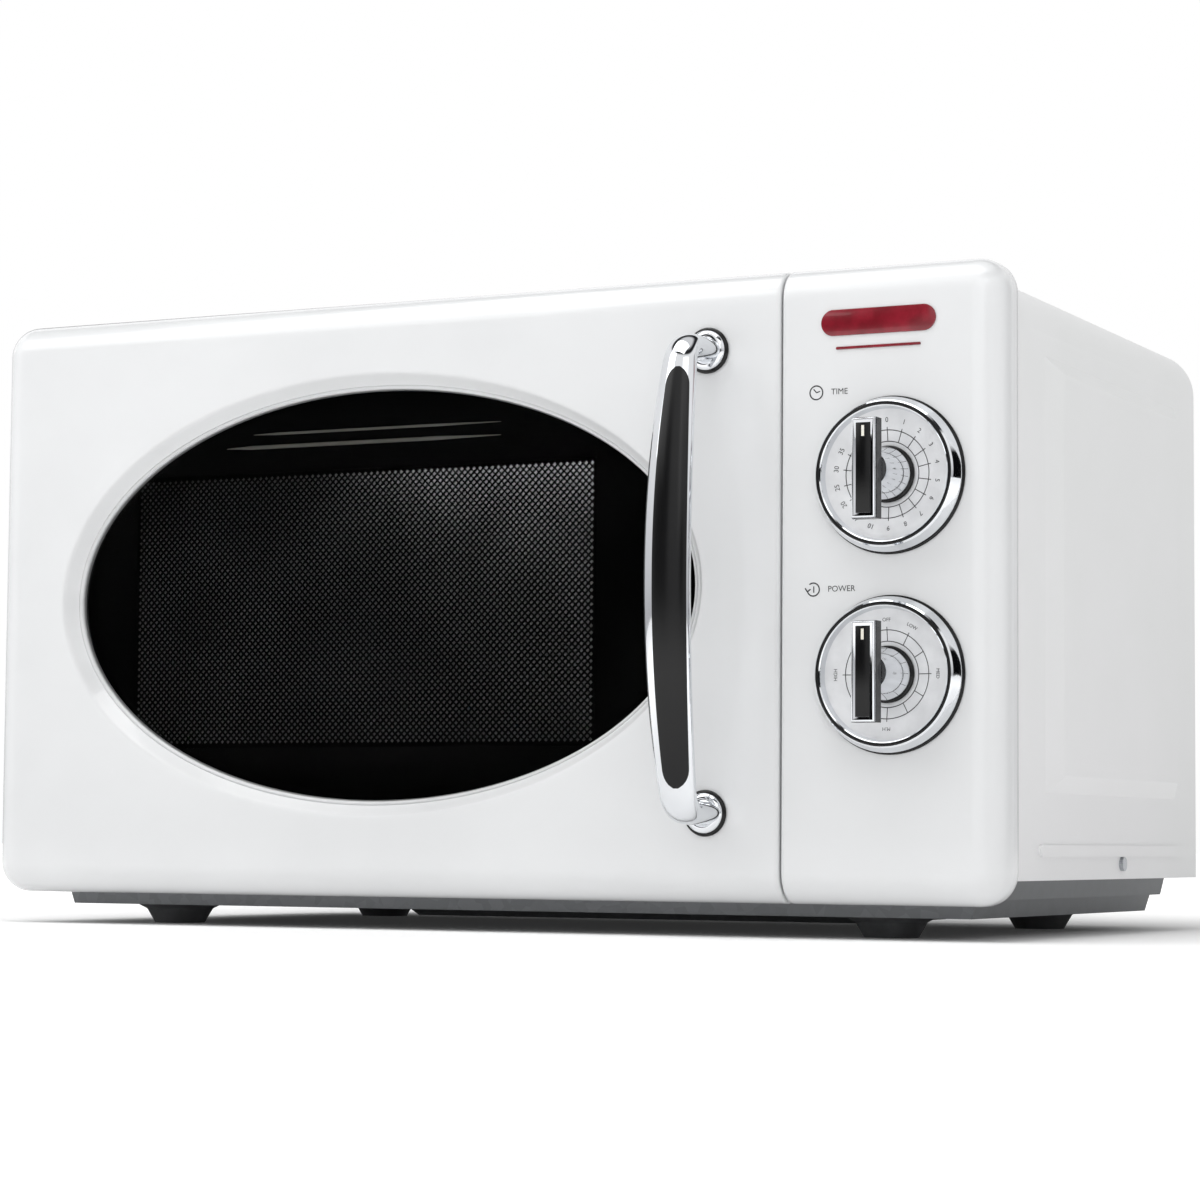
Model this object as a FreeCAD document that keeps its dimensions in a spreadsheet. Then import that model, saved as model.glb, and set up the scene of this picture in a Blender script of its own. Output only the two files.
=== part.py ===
import FreeCAD, Part
import Sketcher
import math
import os

# A countertop microwave oven with a side-hung door, an oval window, a bowed bar
# handle and two turning dials.  Millimetres, +Z up, the front faces -Y.  The origin is
# the middle of the bounding box on the surface that the feet stand on.

DOC = FreeCAD.newDocument("microwave_oven")
SHEET = DOC.addObject("Spreadsheet::Sheet", "Sizes")
SUBPARTS = []


class Size:
    """A length in mm: its value now, and the expression that ties it to the sheet."""

    def __init__(self, text, value):
        self.text = text
        self.value = float(value)

    def __float__(self):
        return self.value

    def __neg__(self):
        return Size(f"(0 - {self.text})", -self.value)

    def __add__(self, other):
        return Size(f"({self.text} + {text_of(other)})", self.value + float(other))

    def __radd__(self, other):
        return Size(f"({text_of(other)} + {self.text})", float(other) + self.value)

    def __sub__(self, other):
        return Size(f"({self.text} - {text_of(other)})", self.value - float(other))

    def __rsub__(self, other):
        return Size(f"({text_of(other)} - {self.text})", float(other) - self.value)

    def __mul__(self, other):
        return Size(f"({self.text} * {text_of(other)})", self.value * float(other))

    def __rmul__(self, other):
        return self * other

    def __truediv__(self, other):
        return Size(f"({self.text} / {text_of(other)})", self.value / float(other))


def text_of(amount):
    """The expression of a Size, or a plain number as text."""
    if isinstance(amount, Size):
        return amount.text
    return f"({amount:.6f})" if amount < 0 else f"{amount:.6f}"


def size(name, value):
    """Write one driving dimension into the sheet under its own name."""
    size.row += 1
    SHEET.set(f"A{size.row}", name.replace("_", " "))
    SHEET.set(f"B{size.row}", str(value))
    SHEET.setAlias(f"B{size.row}", name)
    return Size(f"Sizes.{name}", value)


size.row = 0


def smaller(a, b):
    """The smaller of two sizes, which stays the smaller one when the sheet changes."""
    return Size(f"min({text_of(a)}; {text_of(b)})", min(float(a), float(b)))


# ---------------------------------------------------------------- driving sizes
# front: the door and the control panel beside it
oven_width = size("oven_width", 452)
front_height = size("front_height", 241)
front_depth = size("front_depth", 17)
panel_width = size("panel_width", 88)
seam = size("seam", 1)
corner_radius = size("corner_radius", 13)
edge_radius = size("edge_radius", 12)
seam_edge_radius = size("seam_edge_radius", 1)
skin = size("skin", 3)
rim_wall = size("rim_wall", 4)

# cabinet
wrapper_length = size("wrapper_length", 238)
wrapper_inset = size("wrapper_inset", 3)
wrapper_drop = size("wrapper_drop", 2.5)
wrapper_skirt = size("wrapper_skirt", 9.5)
wrapper_gap = size("wrapper_gap", 1.4)
wrapper_radius = size("wrapper_radius", 20)
sheet_wall = size("sheet_wall", 0.8)
rear_bulge = size("rear_bulge", 40)
bulge_inset = size("bulge_inset", 22)
bulge_draft = size("bulge_draft", 4)
emboss_height = size("emboss_height", 2.6)
gland_flange = size("gland_flange", 3)
gland_bore = size("gland_bore", 3.8)
underside_gap = size("underside_gap", 13)
pan_depth = size("pan_depth", 5)
foot_radius = size("foot_radius", 18)
foot_tip_radius = size("foot_tip_radius", 10.5)

# door and its fittings
plate_gap = size("plate_gap", 2)
plate_wall = size("plate_wall", 1)
plate_seam = size("plate_seam", 0.2)
window_depth = size("window_depth", 8)
window_slope = size("window_slope", 6)
window_side_margin = size("window_side_margin", 8)
window_top_margin = size("window_top_margin", 9.5)
glass_wall = size("glass_wall", 3)
hinge_inset = size("hinge_inset", 6)
hinge_setback = size("hinge_setback", 5.5)
hinge_pin_radius = size("hinge_pin_radius", 2)
hinge_eye_radius = size("hinge_eye_radius", 3.5)
pin_clearance = size("pin_clearance", 0.08)
bracket_wall = size("bracket_wall", 2)
gap = size("gap", 0.5)
hook_wall = size("hook_wall", 4)
spring_radius = size("spring_radius", 1.9)
spring_wire_radius = size("spring_wire_radius", 0.45)

# handle
handle_reach = size("handle_reach", 40)
handle_sag = size("handle_sag", 12)
handle_width = size("handle_width", 19)
handle_upper_width = size("handle_upper_width", 13.6)
handle_lower_width = size("handle_lower_width", 15.6)
handle_wall = size("handle_wall", 9)
handle_post_radius = size("handle_post_radius", 6.5)
handle_inset_side = size("handle_inset_side", 30)
handle_inset_top = size("handle_inset_top", 30)
handle_inset_bottom = size("handle_inset_bottom", 34)
strip_margin = size("strip_margin", 2.6)
strip_shift = size("strip_shift", 2)
strip_wall = size("strip_wall", 2)

# dials and knobs
dial_radius = size("dial_radius", 29)
dial_wall = size("dial_wall", 4.5)
bezel_height = size("bezel_height", 8)
bezel_width = size("bezel_width", 4.6)
time_dial_rise = size("time_dial_rise", 39.5)
power_dial_drop = size("power_dial_drop", 35)
hub_radius = size("hub_radius", 9.8)
grip_width = size("grip_width", 9.3)
grip_length = size("grip_length", 37)
grip_wall = size("grip_wall", 6)
grip_standoff = size("grip_standoff", 21)
shaft_radius = size("shaft_radius", 3)
bearing_clearance = size("bearing_clearance", 0.06)

# cavity and turntable
cavity_side_margin = size("cavity_side_margin", 31.5)
cavity_floor_margin = size("cavity_floor_margin", 26)
cavity_top_margin = size("cavity_top_margin", 30)
cavity_rear_margin = size("cavity_rear_margin", 11)
tray_margin = size("tray_margin", 9.5)
roller_radius = size("roller_radius", 6.5)
tray_wall = size("tray_wall", 4)
free_play = size("free_play", 0.35)

# electrical parts
timer_width = size("timer_width", 50)
timer_depth = size("timer_depth", 24)
core_width = size("core_width", 78)
core_height = size("core_height", 66)
core_depth = size("core_depth", 44)
magnetron_width = size("magnetron_width", 70)
magnetron_length = size("magnetron_length", 80)
magnetron_height = size("magnetron_height", 72)
waveguide_wall_gap = size("waveguide_wall_gap", 20)
fan_radius = size("fan_radius", 41)
fan_tip_gap = size("fan_tip_gap", 2)

# ---------------------------------------------------------------- worked-out places
total_depth = handle_reach + front_depth + wrapper_gap + wrapper_length + rear_bulge + gland_flange
front = handle_reach - total_depth / 2                # the plane of the door's face
front_rear = front + front_depth
plate_front = front_rear + plate_gap
plate_rear = plate_front + plate_wall
wrapper_front = front_rear + wrapper_gap
wrapper_back = wrapper_front + wrapper_length
back = wrapper_back + rear_bulge
left = -oven_width / 2
right = oven_width / 2
base = underside_gap                                  # the lower edge of the door
top = base + front_height
middle = base + front_height / 2
panel_left = right - panel_width
door_right = panel_left - seam
panel_centre = (panel_left + right) / 2
wrapper_right = right - wrapper_inset
wrapper_top = top - wrapper_drop
wrapper_bottom = base + wrapper_skirt
inside_right = wrapper_right - sheet_wall
inside_top = wrapper_top - sheet_wall
cavity_left = left + cavity_side_margin
cavity_right = door_right - cavity_side_margin
cavity_centre = (cavity_left + cavity_right) / 2
cavity_floor = base + cavity_floor_margin
cavity_roof = top - cavity_top_margin
cavity_back = back - cavity_rear_margin
cavity_middle = (plate_rear + cavity_back) / 2
bay_left = cavity_right + sheet_wall
bay_floor = base - pan_depth + sheet_wall
window_half_width = (cavity_right - cavity_left) / 2 - window_side_margin
window_half_height = (cavity_roof - cavity_floor) / 2 - window_top_margin
window_centre_z = (cavity_roof + cavity_floor) / 2 + 3
window_centre_x = cavity_centre + 1.5
glass_front = front + window_depth
glass_rear = glass_front + glass_wall
inner_panel_front = glass_rear + 3
cover_front = inner_panel_front + sheet_wall
hinge_x = left + hinge_inset
hinge_y = front_rear - hinge_setback
handle_x = door_right - handle_inset_side
upper_post_z = top - handle_inset_top
lower_post_z = base + handle_inset_bottom
time_dial_z = middle + time_dial_rise
power_dial_z = middle - power_dial_drop
latch_x = door_right - 19
fan_front = wrapper_back - 56
latch_half = front_height / 2 - 46.5                  # half the length of the latch plate

# ---------------------------------------------------------------- building helpers
AXES = {
    "x": FreeCAD.Vector(1, 0, 0),
    "y": FreeCAD.Vector(0, 1, 0),
    "z": FreeCAD.Vector(0, 0, 1),
    "-x": FreeCAD.Vector(-1, 0, 0),
    "-y": FreeCAD.Vector(0, -1, 0),
    "-z": FreeCAD.Vector(0, 0, -1),
}


def place(thing, where, towards="z"):
    """Point a solid's own Z axis along an axis and tie its place to the sheet."""
    thing.Placement = FreeCAD.Placement(FreeCAD.Vector(), FreeCAD.Rotation(AXES["z"], AXES[towards]))
    for axis, amount in zip("xyz", where):
        thing.setExpression(f"Placement.Base.{axis}", text_of(amount))
    return thing


def box(low, high):
    """A block between two corners."""
    block = DOC.addObject("Part::Box", "block")
    for side, start, end in zip(("Length", "Width", "Height"), low, high):
        block.setExpression(side, text_of(end - start))
    return place(block, low)


def cylinder(start, towards, radius, length):
    """A round bar that starts at a point and runs along an axis."""
    bar = DOC.addObject("Part::Cylinder", "bar")
    bar.setExpression("Radius", text_of(radius))
    bar.setExpression("Height", text_of(length))
    return place(bar, start, towards)


def sphere(centre, radius):
    ball = DOC.addObject("Part::Sphere", "ball")
    ball.setExpression("Radius", text_of(radius))
    return place(ball, centre)


def fuse(*pieces):
    joined = DOC.addObject("Part::MultiFuse", "joined")
    joined.Shapes = list(pieces)
    return joined


def cut(body, *tools):
    """Take one or more tools away from a body."""
    result = DOC.addObject("Part::Cut", "cut")
    result.Base = body
    result.Tool = tools[0] if len(tools) == 1 else fuse(*tools)
    return result


def common(first, second):
    shared = DOC.addObject("Part::Common", "shared")
    shared.Base = first
    shared.Tool = second
    return shared


def frustum(towards, start, end, foot, crown):
    """A tapered block from a foot rectangle to a crown rectangle.

    Each rectangle is (low, high) of the first free axis, then (low, high) of the second,
    with the free axes in X, Y, Z order.  start and end are places along the taper's axis.
    """
    wedge = DOC.addObject("Part::Wedge", "wedge")
    turns = {
        "y": (AXES["z"], 0), "x": (AXES["z"], -90), "-x": (AXES["z"], 90),
        "z": (AXES["x"], 90), "-z": (AXES["x"], -90),
    }
    if towards == "x":
        foot, crown = [(-face[1], -face[0], face[2], face[3]) for face in (foot, crown)]
    if towards == "z":
        foot, crown = [(face[0], face[1], -face[3], -face[2]) for face in (foot, crown)]
    if towards in ("-x", "-z"):
        start, end = -start, -end
    names = ("Xmin", "Xmax", "Zmin", "Zmax", "X2min", "X2max", "Z2min", "Z2max", "Ymin", "Ymax")
    for name, amount in zip(names, foot + crown + (start, end)):
        wedge.setExpression(name, text_of(amount))
    wedge.Placement = FreeCAD.Placement(FreeCAD.Vector(), FreeCAD.Rotation(*turns[towards]))
    return wedge


def oval_plug(near, far, near_axes, far_axes):
    """A lofted oval solid about the window's centre line, from one depth to another."""
    rims = []
    for depth, (half_width, half_height) in ((near, near_axes), (far, far_axes)):
        rim = DOC.addObject("Part::Ellipse", "rim")
        rim.setExpression("MajorRadius", text_of(half_width))
        rim.setExpression("MinorRadius", text_of(half_height))
        rims.append(place(rim, (window_centre_x, depth, window_centre_z), "-y"))
    loft = DOC.addObject("Part::Loft", "oval")
    loft.Sections = rims
    loft.Solid = True
    loft.Ruled = True
    return loft


def sketch_on(body, role, offset):
    """A new sketch on one of the body's own origin planes, moved along the plane's normal."""
    plane = [feature for feature in body.Origin.OriginFeatures if feature.Role == role][0]
    sketch = body.newObject("Sketcher::SketchObject", "outline")
    sketch.AttachmentSupport = (plane, [""])
    sketch.MapMode = "FlatFace"
    sketch.setExpression("AttachmentOffset.Base.z", text_of(offset))
    return sketch


def tie(sketch, kind, geometry, point, amount):
    """Hold one point of the sketch at a distance from its origin, by expression."""
    index = sketch.addConstraint(Sketcher.Constraint(kind, -1, 1, geometry, point, float(amount)))
    sketch.setExpression(f"Constraints[{index}]", text_of(amount))


def outline(sketch, corners):
    """A closed outline of straight lines, each corner tied to the sheet."""
    count = len(corners)
    points = [FreeCAD.Vector(float(u), float(v), 0) for u, v in corners]
    for index in range(count):
        sketch.addGeometry(Part.LineSegment(points[index], points[(index + 1) % count]), False)
    for index in range(count):
        sketch.addConstraint(Sketcher.Constraint("Coincident", index, 2, (index + 1) % count, 1))
    for index, (u, v) in enumerate(corners):
        tie(sketch, "DistanceX", index, 1, u)
        tie(sketch, "DistanceY", index, 1, v)


def slab(low, high, along):
    """A PartDesign body: a rectangle padded along one axis between two corners."""
    body = DOC.addObject("PartDesign::Body", "slab")
    x, y, z = zip(low, high)
    role, offset, u, v, depth = {
        "x": ("YZ_Plane", x[0], y, z, x),
        "y": ("XZ_Plane", -y[1], x, z, y),
        "z": ("XY_Plane", z[0], x, y, z),
    }[along]
    sketch = sketch_on(body, role, offset)
    outline(sketch, [(u[0], v[0]), (u[1], v[0]), (u[1], v[1]), (u[0], v[1])])
    pad = body.newObject("PartDesign::Pad", "pad")
    pad.Profile = sketch
    pad.setExpression("Length", text_of(depth[1] - depth[0]))
    DOC.recompute()
    return body


def edges_of(shape, along=None, **where):
    """Names of the edges that run along an axis and whose middle lies at the given places."""
    names = []
    for number, edge in enumerate(shape.Edges, 1):
        bounds = edge.BoundBox
        middle_point = bounds.Center
        if along and bounds.DiagonalLength - getattr(bounds, along.upper() + "Length") > 0.001:
            continue
        if all(abs(getattr(middle_point, axis) - float(place_at)) < 0.01 for axis, place_at in where.items()):
            names.append(f"Edge{number}")
    return names


def round_edges(body, names, radius):
    """Round chosen edges of a PartDesign body's last feature."""
    last = body.Tip
    fillet = body.newObject("PartDesign::Fillet", "rounding")
    fillet.Base = (last, names)
    fillet.setExpression("Radius", text_of(radius))
    body.Tip = fillet
    DOC.recompute()
    return body


def rounded_block(low, high, along, radius):
    """A block whose four edges along one axis are rounded."""
    body = slab(low, high, along)
    return round_edges(body, edges_of(body.Shape, along), radius)


def turned(profile, where, towards):
    """A turned piece: (radius, height) corners spun about an axis through a point."""
    body = DOC.addObject("PartDesign::Body", "turned")
    sketch = sketch_on(body, "XZ_Plane", 0)
    outline(sketch, profile)
    spin = body.newObject("PartDesign::Revolution", "spin")
    spin.Profile = sketch
    spin.ReferenceAxis = (sketch, ["V_Axis"])
    spin.Angle = 360
    return place(body, where, towards)


def around(centre, count, radius, start=0):
    """Points spaced evenly on a level circle, with the angle of each in degrees."""
    points = []
    for index in range(count):
        angle = start + 360 * index / count
        turn = math.radians(angle)
        points.append((centre[0] + radius * math.cos(turn), centre[1] + radius * math.sin(turn), angle))
    return points


def swivel(thing, where, degrees, axis="z"):
    """Turn a solid about an axis at its own origin and tie its place to the sheet."""
    thing.Placement = FreeCAD.Placement(FreeCAD.Vector(), FreeCAD.Rotation(AXES[axis], degrees))
    for name, amount in zip("xyz", where):
        thing.setExpression(f"Placement.Base.{name}", text_of(amount))
    return thing


def group(*pieces):
    """Separate solids of one kind, kept together in one node."""
    together = DOC.addObject("Part::Compound", "group")
    together.Links = list(pieces)
    return together


def subpart(name, thing):
    """Give a finished sub-part its label, which names its file."""
    thing.Label = name
    SUBPARTS.append(thing)
    return thing


# ---------------------------------------------------------------- door
def front_blank(low_x, high_x, outer_x, inner_x):
    """The rounded block that the door frame and the control panel are shaped from."""
    body = slab((low_x, front, base), (high_x, front_rear, top), "y")
    corners = edges_of(body.Shape, "y", x=outer_x)
    round_edges(body, corners, corner_radius)
    face = [name for name in edges_of(body.Shape, y=front) if name not in edges_of(body.Shape, "z", x=inner_x)]
    round_edges(body, face, edge_radius)
    return round_edges(body, edges_of(body.Shape, "z", x=inner_x, y=front), seam_edge_radius)


def hinge_slot(bracket_low):
    """The room that the door leaves for one hinge bracket, open to the rear and the side."""
    low = bracket_low - gap
    high = bracket_low + bracket_wall + gap
    side = box((left - 1, hinge_y - 3.3, low), (hinge_x + hinge_eye_radius + gap, front_rear + 1, high))
    eye = cylinder((hinge_x, hinge_y, low), "z", hinge_eye_radius + gap, high - low)
    return fuse(side, eye)


def hinge_levels():
    """Lower faces of the upper and the lower hinge bracket."""
    return (top - 27, base + 24)


def door_outer_frame():
    blank = front_blank(left, door_right, left, door_right)
    round_edges(blank, edges_of(blank.Shape, "z", x=left, y=front_rear), 3)
    wall = rim_wall
    hollow_inset = skin + rim_wall + gap
    rear_pocket = rounded_block(
        (left + wall, glass_front, base + wall), (door_right - wall, front_rear + 1, top - wall), "y", 9)
    skin_hollow = box(
        (left + hollow_inset, front + skin, base + hollow_inset),
        (door_right - hollow_inset, glass_front, top - hollow_inset))
    collar = oval_plug(
        front + skin - 1, glass_front + 1,
        (window_half_width + 11, window_half_height + 11), (window_half_width + 11, window_half_height + 11))
    opening = oval_plug(
        front, glass_front,
        (window_half_width + window_slope, window_half_height + window_slope),
        (window_half_width, window_half_height))
    hinge_blocks = [
        box((left + wall - 1, front + skin, level - 14), (left + wall + 10, front_rear, level + 16))
        for level in hinge_levels()
    ]
    spring_rib = box((latch_x - 5, front + skin, top - 26), (latch_x + 5, cover_front, top - 23))
    hollows = cut(fuse(rear_pocket, cut(skin_hollow, collar)), *hinge_blocks, spring_rib)
    pin_holes = [
        cylinder((hinge_x, hinge_y, level - 9), "z", hinge_pin_radius, bracket_wall + 18)
        for level in hinge_levels()
    ]
    screw_holes = [
        cylinder((handle_x, front - 1, z), "y", 2, skin + 2) for z in (upper_post_z, lower_post_z)
    ]
    slots = [hinge_slot(level) for level in hinge_levels()]
    return cut(blank, hollows, opening, *slots, *pin_holes, *screw_holes)


def window_glass():
    return rounded_block(
        (window_centre_x - window_half_width - 15, glass_front, window_centre_z - window_half_height - 13),
        (latch_x - 5.5, glass_rear, window_centre_z + window_half_height + 13), "y", 6)


def door_inner_panel():
    """The steel screen panel: a drawn pan whose rim clamps the glass."""
    low_x = window_centre_x - window_half_width - 12
    high_x = latch_x - 8.5
    low_z = window_centre_z - window_half_height - 10
    high_z = window_centre_z + window_half_height + 10
    rim = rounded_block((low_x, glass_rear, low_z), (high_x, cover_front, high_z), "y", 5)
    inside = rounded_block(
        (low_x + sheet_wall, glass_rear - 1, low_z + sheet_wall),
        (high_x - sheet_wall, inner_panel_front, high_z - sheet_wall), "y", 4)
    return cut(rim, inside)


def door_film():
    return box(
        (cavity_left + 28, cover_front, cavity_floor + 27), (cavity_right - 46, cover_front + 0.4, cavity_roof - 30))


def choke_cover():
    """The moulded frame that closes the back of the door round the screen."""
    frame = rounded_block(
        (left + rim_wall + 11, cover_front, base + rim_wall + gap),
        (door_right - rim_wall - gap, front_rear, top - rim_wall - gap), "y", 8)
    opening = rounded_block(
        (cavity_left + 22, cover_front - 1, cavity_floor + 22), (cavity_right - 40, front_rear + 1, cavity_roof - 25),
        "y", 6)
    slots = [
        box((latch_x - 4, cover_front - 1, z - 6), (latch_x + 4, front_rear + 1, z + 15)) for z in hook_levels()
    ]
    return cut(frame, opening, *slots)


def hook_levels():
    """Lower faces of the shanks of the two latch hooks."""
    return (middle + latch_half - 19, middle - latch_half + 14)


def latch_hook():
    """One plate with two hooks that reach through the front plate."""
    lower, upper = middle - latch_half, middle + latch_half
    bar = rounded_block((latch_x - 4, glass_front + 1, lower), (latch_x + 4, glass_front + 4.5, upper), "y", 2)
    pieces = [bar]
    tip = plate_rear + 16
    for level in hook_levels():
        half = hook_wall / 2
        pieces.append(box((latch_x - half, glass_front + 4, level), (latch_x + half, tip, level + 8)))
        pieces.append(frustum(
            "-z", level + 1, level - 3,
            (latch_x - half, latch_x + half, tip - 8, tip), (latch_x - half, latch_x + half, tip - 6, tip - 3)))
    return fuse(*pieces)


def latch_spring():
    """A coil that pushes the latch plate down."""
    low = middle + latch_half + spring_wire_radius
    length = top - 26 - spring_wire_radius - low
    helix = DOC.addObject("Part::Helix", "coil")
    for side, amount in (("Pitch", length / 6), ("Height", length), ("Radius", spring_radius)):
        helix.setExpression(side, text_of(amount))
    place(helix, (latch_x, glass_front + 2.75, low))
    section = DOC.addObject("Part::Circle", "wire")
    section.setExpression("Radius", text_of(spring_wire_radius))
    place(section, (latch_x + spring_radius, glass_front + 2.75, low), "y")
    sweep = DOC.addObject("Part::Sweep", "spring")
    sweep.Sections = [section]
    sweep.Spine = (helix, ["Edge1"])
    sweep.Solid = True
    sweep.Frenet = True
    DOC.recompute()
    return sweep


# ---------------------------------------------------------------- handle
handle_span = upper_post_z - lower_post_z
handle_middle = (upper_post_z + lower_post_z) / 2
bow_radius = (handle_span * handle_span / 4 + handle_sag * handle_sag) / (2 * handle_sag)
bow_centre_y = front - handle_reach + bow_radius
handle_end_y = front - handle_reach + handle_sag


def bow(outer_radius, wall, margin, shift, reduce):
    """A stretch of the bowed bar: a slice of a wide ring, trimmed to the bar's narrowing outline."""
    start = (handle_x - handle_width / 2, bow_centre_y, handle_middle)
    ring = cut(
        cylinder(start, "x", outer_radius, handle_width), cylinder(start, "x", outer_radius - wall, handle_width))
    widths = [(width / 2 - margin) for width in (handle_lower_width, handle_width, handle_upper_width)]
    lower, wide, upper = [
        (handle_x + shift - half, handle_x + shift + half, front - handle_reach - 1, front - 1) for half in widths
    ]
    outline_below = frustum("-z", handle_middle, lower_post_z + reduce, wide, lower)
    outline_above = frustum("z", handle_middle, upper_post_z - reduce, wide, upper)
    return common(ring, fuse(outline_below, outline_above))


def handle_strip(allowance):
    return bow(bow_radius + 0.3 + allowance, strip_wall + allowance, strip_margin, strip_shift, 10)


def handle():
    bar = bow(bow_radius, handle_wall, 0, 0, 0)
    pieces = [bar]
    holes = []
    for z in (lower_post_z, upper_post_z):
        elbow_y = handle_end_y + handle_post_radius
        pieces.append(cylinder((handle_x, front, z), "-y", handle_post_radius, front - elbow_y))
        pieces.append(sphere((handle_x, elbow_y, z), handle_post_radius))
        holes.append(cylinder((handle_x, front + 1, z), "-y", 2, 15))
    return cut(fuse(*pieces), handle_strip(0.5), *holes)


def handle_insert():
    return handle_strip(0)


def handle_screws():
    """Two screws from inside the door into the handle's posts."""
    screws = []
    for z in (lower_post_z, upper_post_z):
        shank = cylinder((handle_x, front + skin, z), "-y", 2, skin + 14)
        head = cylinder((handle_x, front + skin, z), "y", 4, 2.6)
        screws.append(fuse(shank, head))
    return group(*screws)


# ---------------------------------------------------------------- hinges
def hinge_bracket(level, reach_down):
    """An arm with an eye for the pin, and a flange behind the front plate."""
    arm_left = hinge_x - 1.7
    arm_right = hinge_x + hinge_eye_radius
    arm = box((arm_left, hinge_y, level), (arm_right, plate_rear + 1.5, level + bracket_wall))
    eye = cylinder((hinge_x, hinge_y, level), "z", hinge_eye_radius, bracket_wall)
    low = level - 22 if reach_down else level
    high = level + bracket_wall if reach_down else level + bracket_wall + 22
    flange = box((arm_left, plate_rear, low), (arm_left + 22, plate_rear + 1.5, high))
    bore = cylinder((hinge_x, hinge_y, level - 1), "z", hinge_pin_radius + pin_clearance, bracket_wall + 2)
    screw_holes = [
        cylinder((hinge_x + 13, plate_rear - 1, z), "y", 1.5, 4) for z in hinge_screw_levels()
    ]
    return cut(fuse(arm, eye, flange), bore, *screw_holes)


def hinge_brackets():
    upper, lower = hinge_levels()
    return group(hinge_bracket(upper, True), hinge_bracket(lower, False))


def hinge_pins():
    """Two pins, pressed into the door and turning in the brackets' eyes."""
    return group(*[
        cylinder((hinge_x, hinge_y, level - 9), "z", hinge_pin_radius, bracket_wall + 18)
        for level in hinge_levels()
    ])


def hinge_screw_levels():
    """Heights of the two screws in each bracket's flange."""
    upper, lower = hinge_levels()
    return (upper - 8, upper - 17, lower + bracket_wall + 8, lower + bracket_wall + 17)


def hinge_screws():
    """Short screws through the front plate into the bracket flanges."""
    screws = []
    for z in hinge_screw_levels():
        shank = cylinder((hinge_x + 13, plate_front, z), "y", 1.5, plate_wall + 4)
        head = cylinder((hinge_x + 13, plate_front, z), "-y", 2.8, 1.2)
        screws.append(fuse(shank, head))
    return group(*screws)


# ---------------------------------------------------------------- front plate and control panel
def front_plate():
    """The steel front of the cabinet: two stiles and two rails welded round the cavity's mouth."""
    plate = slab(
        (-inside_right, plate_front, wrapper_bottom), (inside_right, plate_rear, inside_top), "y")
    round_edges(
        plate, edges_of(plate.Shape, "y", z=inside_top), wrapper_radius - sheet_wall)
    tools = []
    for level in hook_levels():
        tools.append(box((latch_x - 4.5, plate_front - 1, level - 6), (latch_x + 4.5, plate_rear + 1, level + 15)))
    for z in (time_dial_z, power_dial_z):
        tools.append(cylinder((panel_centre, plate_front - 1, z), "y", 5, plate_wall + 2))
    for level in hinge_levels():
        tools.append(box(
            (hinge_x - 1.7 - 3, plate_front - 1, level), (hinge_x + hinge_eye_radius, plate_rear + 1,
                                                          level + bracket_wall)))
    for z in hinge_screw_levels():
        tools.append(cylinder((hinge_x + 13, plate_front - 1, z), "y", 1.5, plate_wall + 2))
    pierced = cut(plate, *tools)
    near, far = plate_front - 1, plate_rear + 1
    strips = [
        box((-inside_right - 1, near, wrapper_bottom - 1), (cavity_left, far, inside_top + 1)),
        box((cavity_right, near, wrapper_bottom - 1), (inside_right + 1, far, inside_top + 1)),
        box(
            (cavity_left + plate_seam, near, wrapper_bottom - 1),
            (cavity_right - plate_seam, far, cavity_floor)),
        box(
            (cavity_left + plate_seam, near, cavity_roof), (cavity_right - plate_seam, far, inside_top + 1)),
    ]
    return group(*[common(pierced, strip) for strip in strips])


def control_panel():
    blank = front_blank(panel_left, right, right, panel_left)
    pocket = rounded_block(
        (panel_left + skin, front + skin + 4, base + rim_wall + 3),
        (right - rim_wall, front_rear + 1, top - rim_wall - 3), "y", 8)
    posts = [
        cylinder((x, front + skin, z), "y", 4, plate_front - front - skin)
        for x in (panel_left + 11, right - 16) for z in (base + 18, top - 18)
    ]
    shaft_holes = [
        cylinder((panel_centre, front - 1, z), "y", shaft_radius + 1.5, front_depth + 2)
        for z in (time_dial_z, power_dial_z)
    ]
    return fuse(cut(blank, pocket, *shaft_holes), *posts)


# ---------------------------------------------------------------- dials and knobs
def dial_plate(z):
    """A dished disc that carries the printed scale."""
    rim = dial_radius - bezel_width
    return turned(
        [(hub_radius + 0.8, 0), (rim, 0), (rim, dial_wall), (hub_radius + 0.8, dial_wall - 2)],
        (panel_centre, front, z), "-y")


def bezel(z):
    """The chrome ring round a dial."""
    rim = dial_radius - bezel_width
    return turned(
        [(rim, 0), (dial_radius, 0), (dial_radius, bezel_height - 5), (dial_radius - 1.6, bezel_height - 1),
         (dial_radius - 2.8, bezel_height), (dial_radius - 3.8, bezel_height - 0.6), (rim, dial_wall)],
        (panel_centre, front, z), "-y")


def knob(z):
    """A turned hub that carries a bar grip across its end."""
    hub = turned(
        [(0, 1), (hub_radius, 1), (hub_radius, 7), (hub_radius - 1.4, 13), (hub_radius - 3.2, grip_standoff),
         (0, grip_standoff)],
        (panel_centre, front, z), "-y")
    grip_front = front - grip_standoff - grip_wall
    half_length = grip_length / 2
    grip = rounded_block(
        (panel_centre - grip_width / 2, grip_front, z - half_length),
        (panel_centre + grip_width / 2, front - grip_standoff, z + half_length), "y", 2)
    groove = box(
        (panel_centre - 2.75, grip_front - 1, z - half_length + 2),
        (panel_centre + 2.75, grip_front + 1.2, z + half_length - 2))
    bore = cylinder((panel_centre, front, z), "-y", shaft_radius, 17)
    return cut(fuse(hub, grip), groove, bore)


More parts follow.
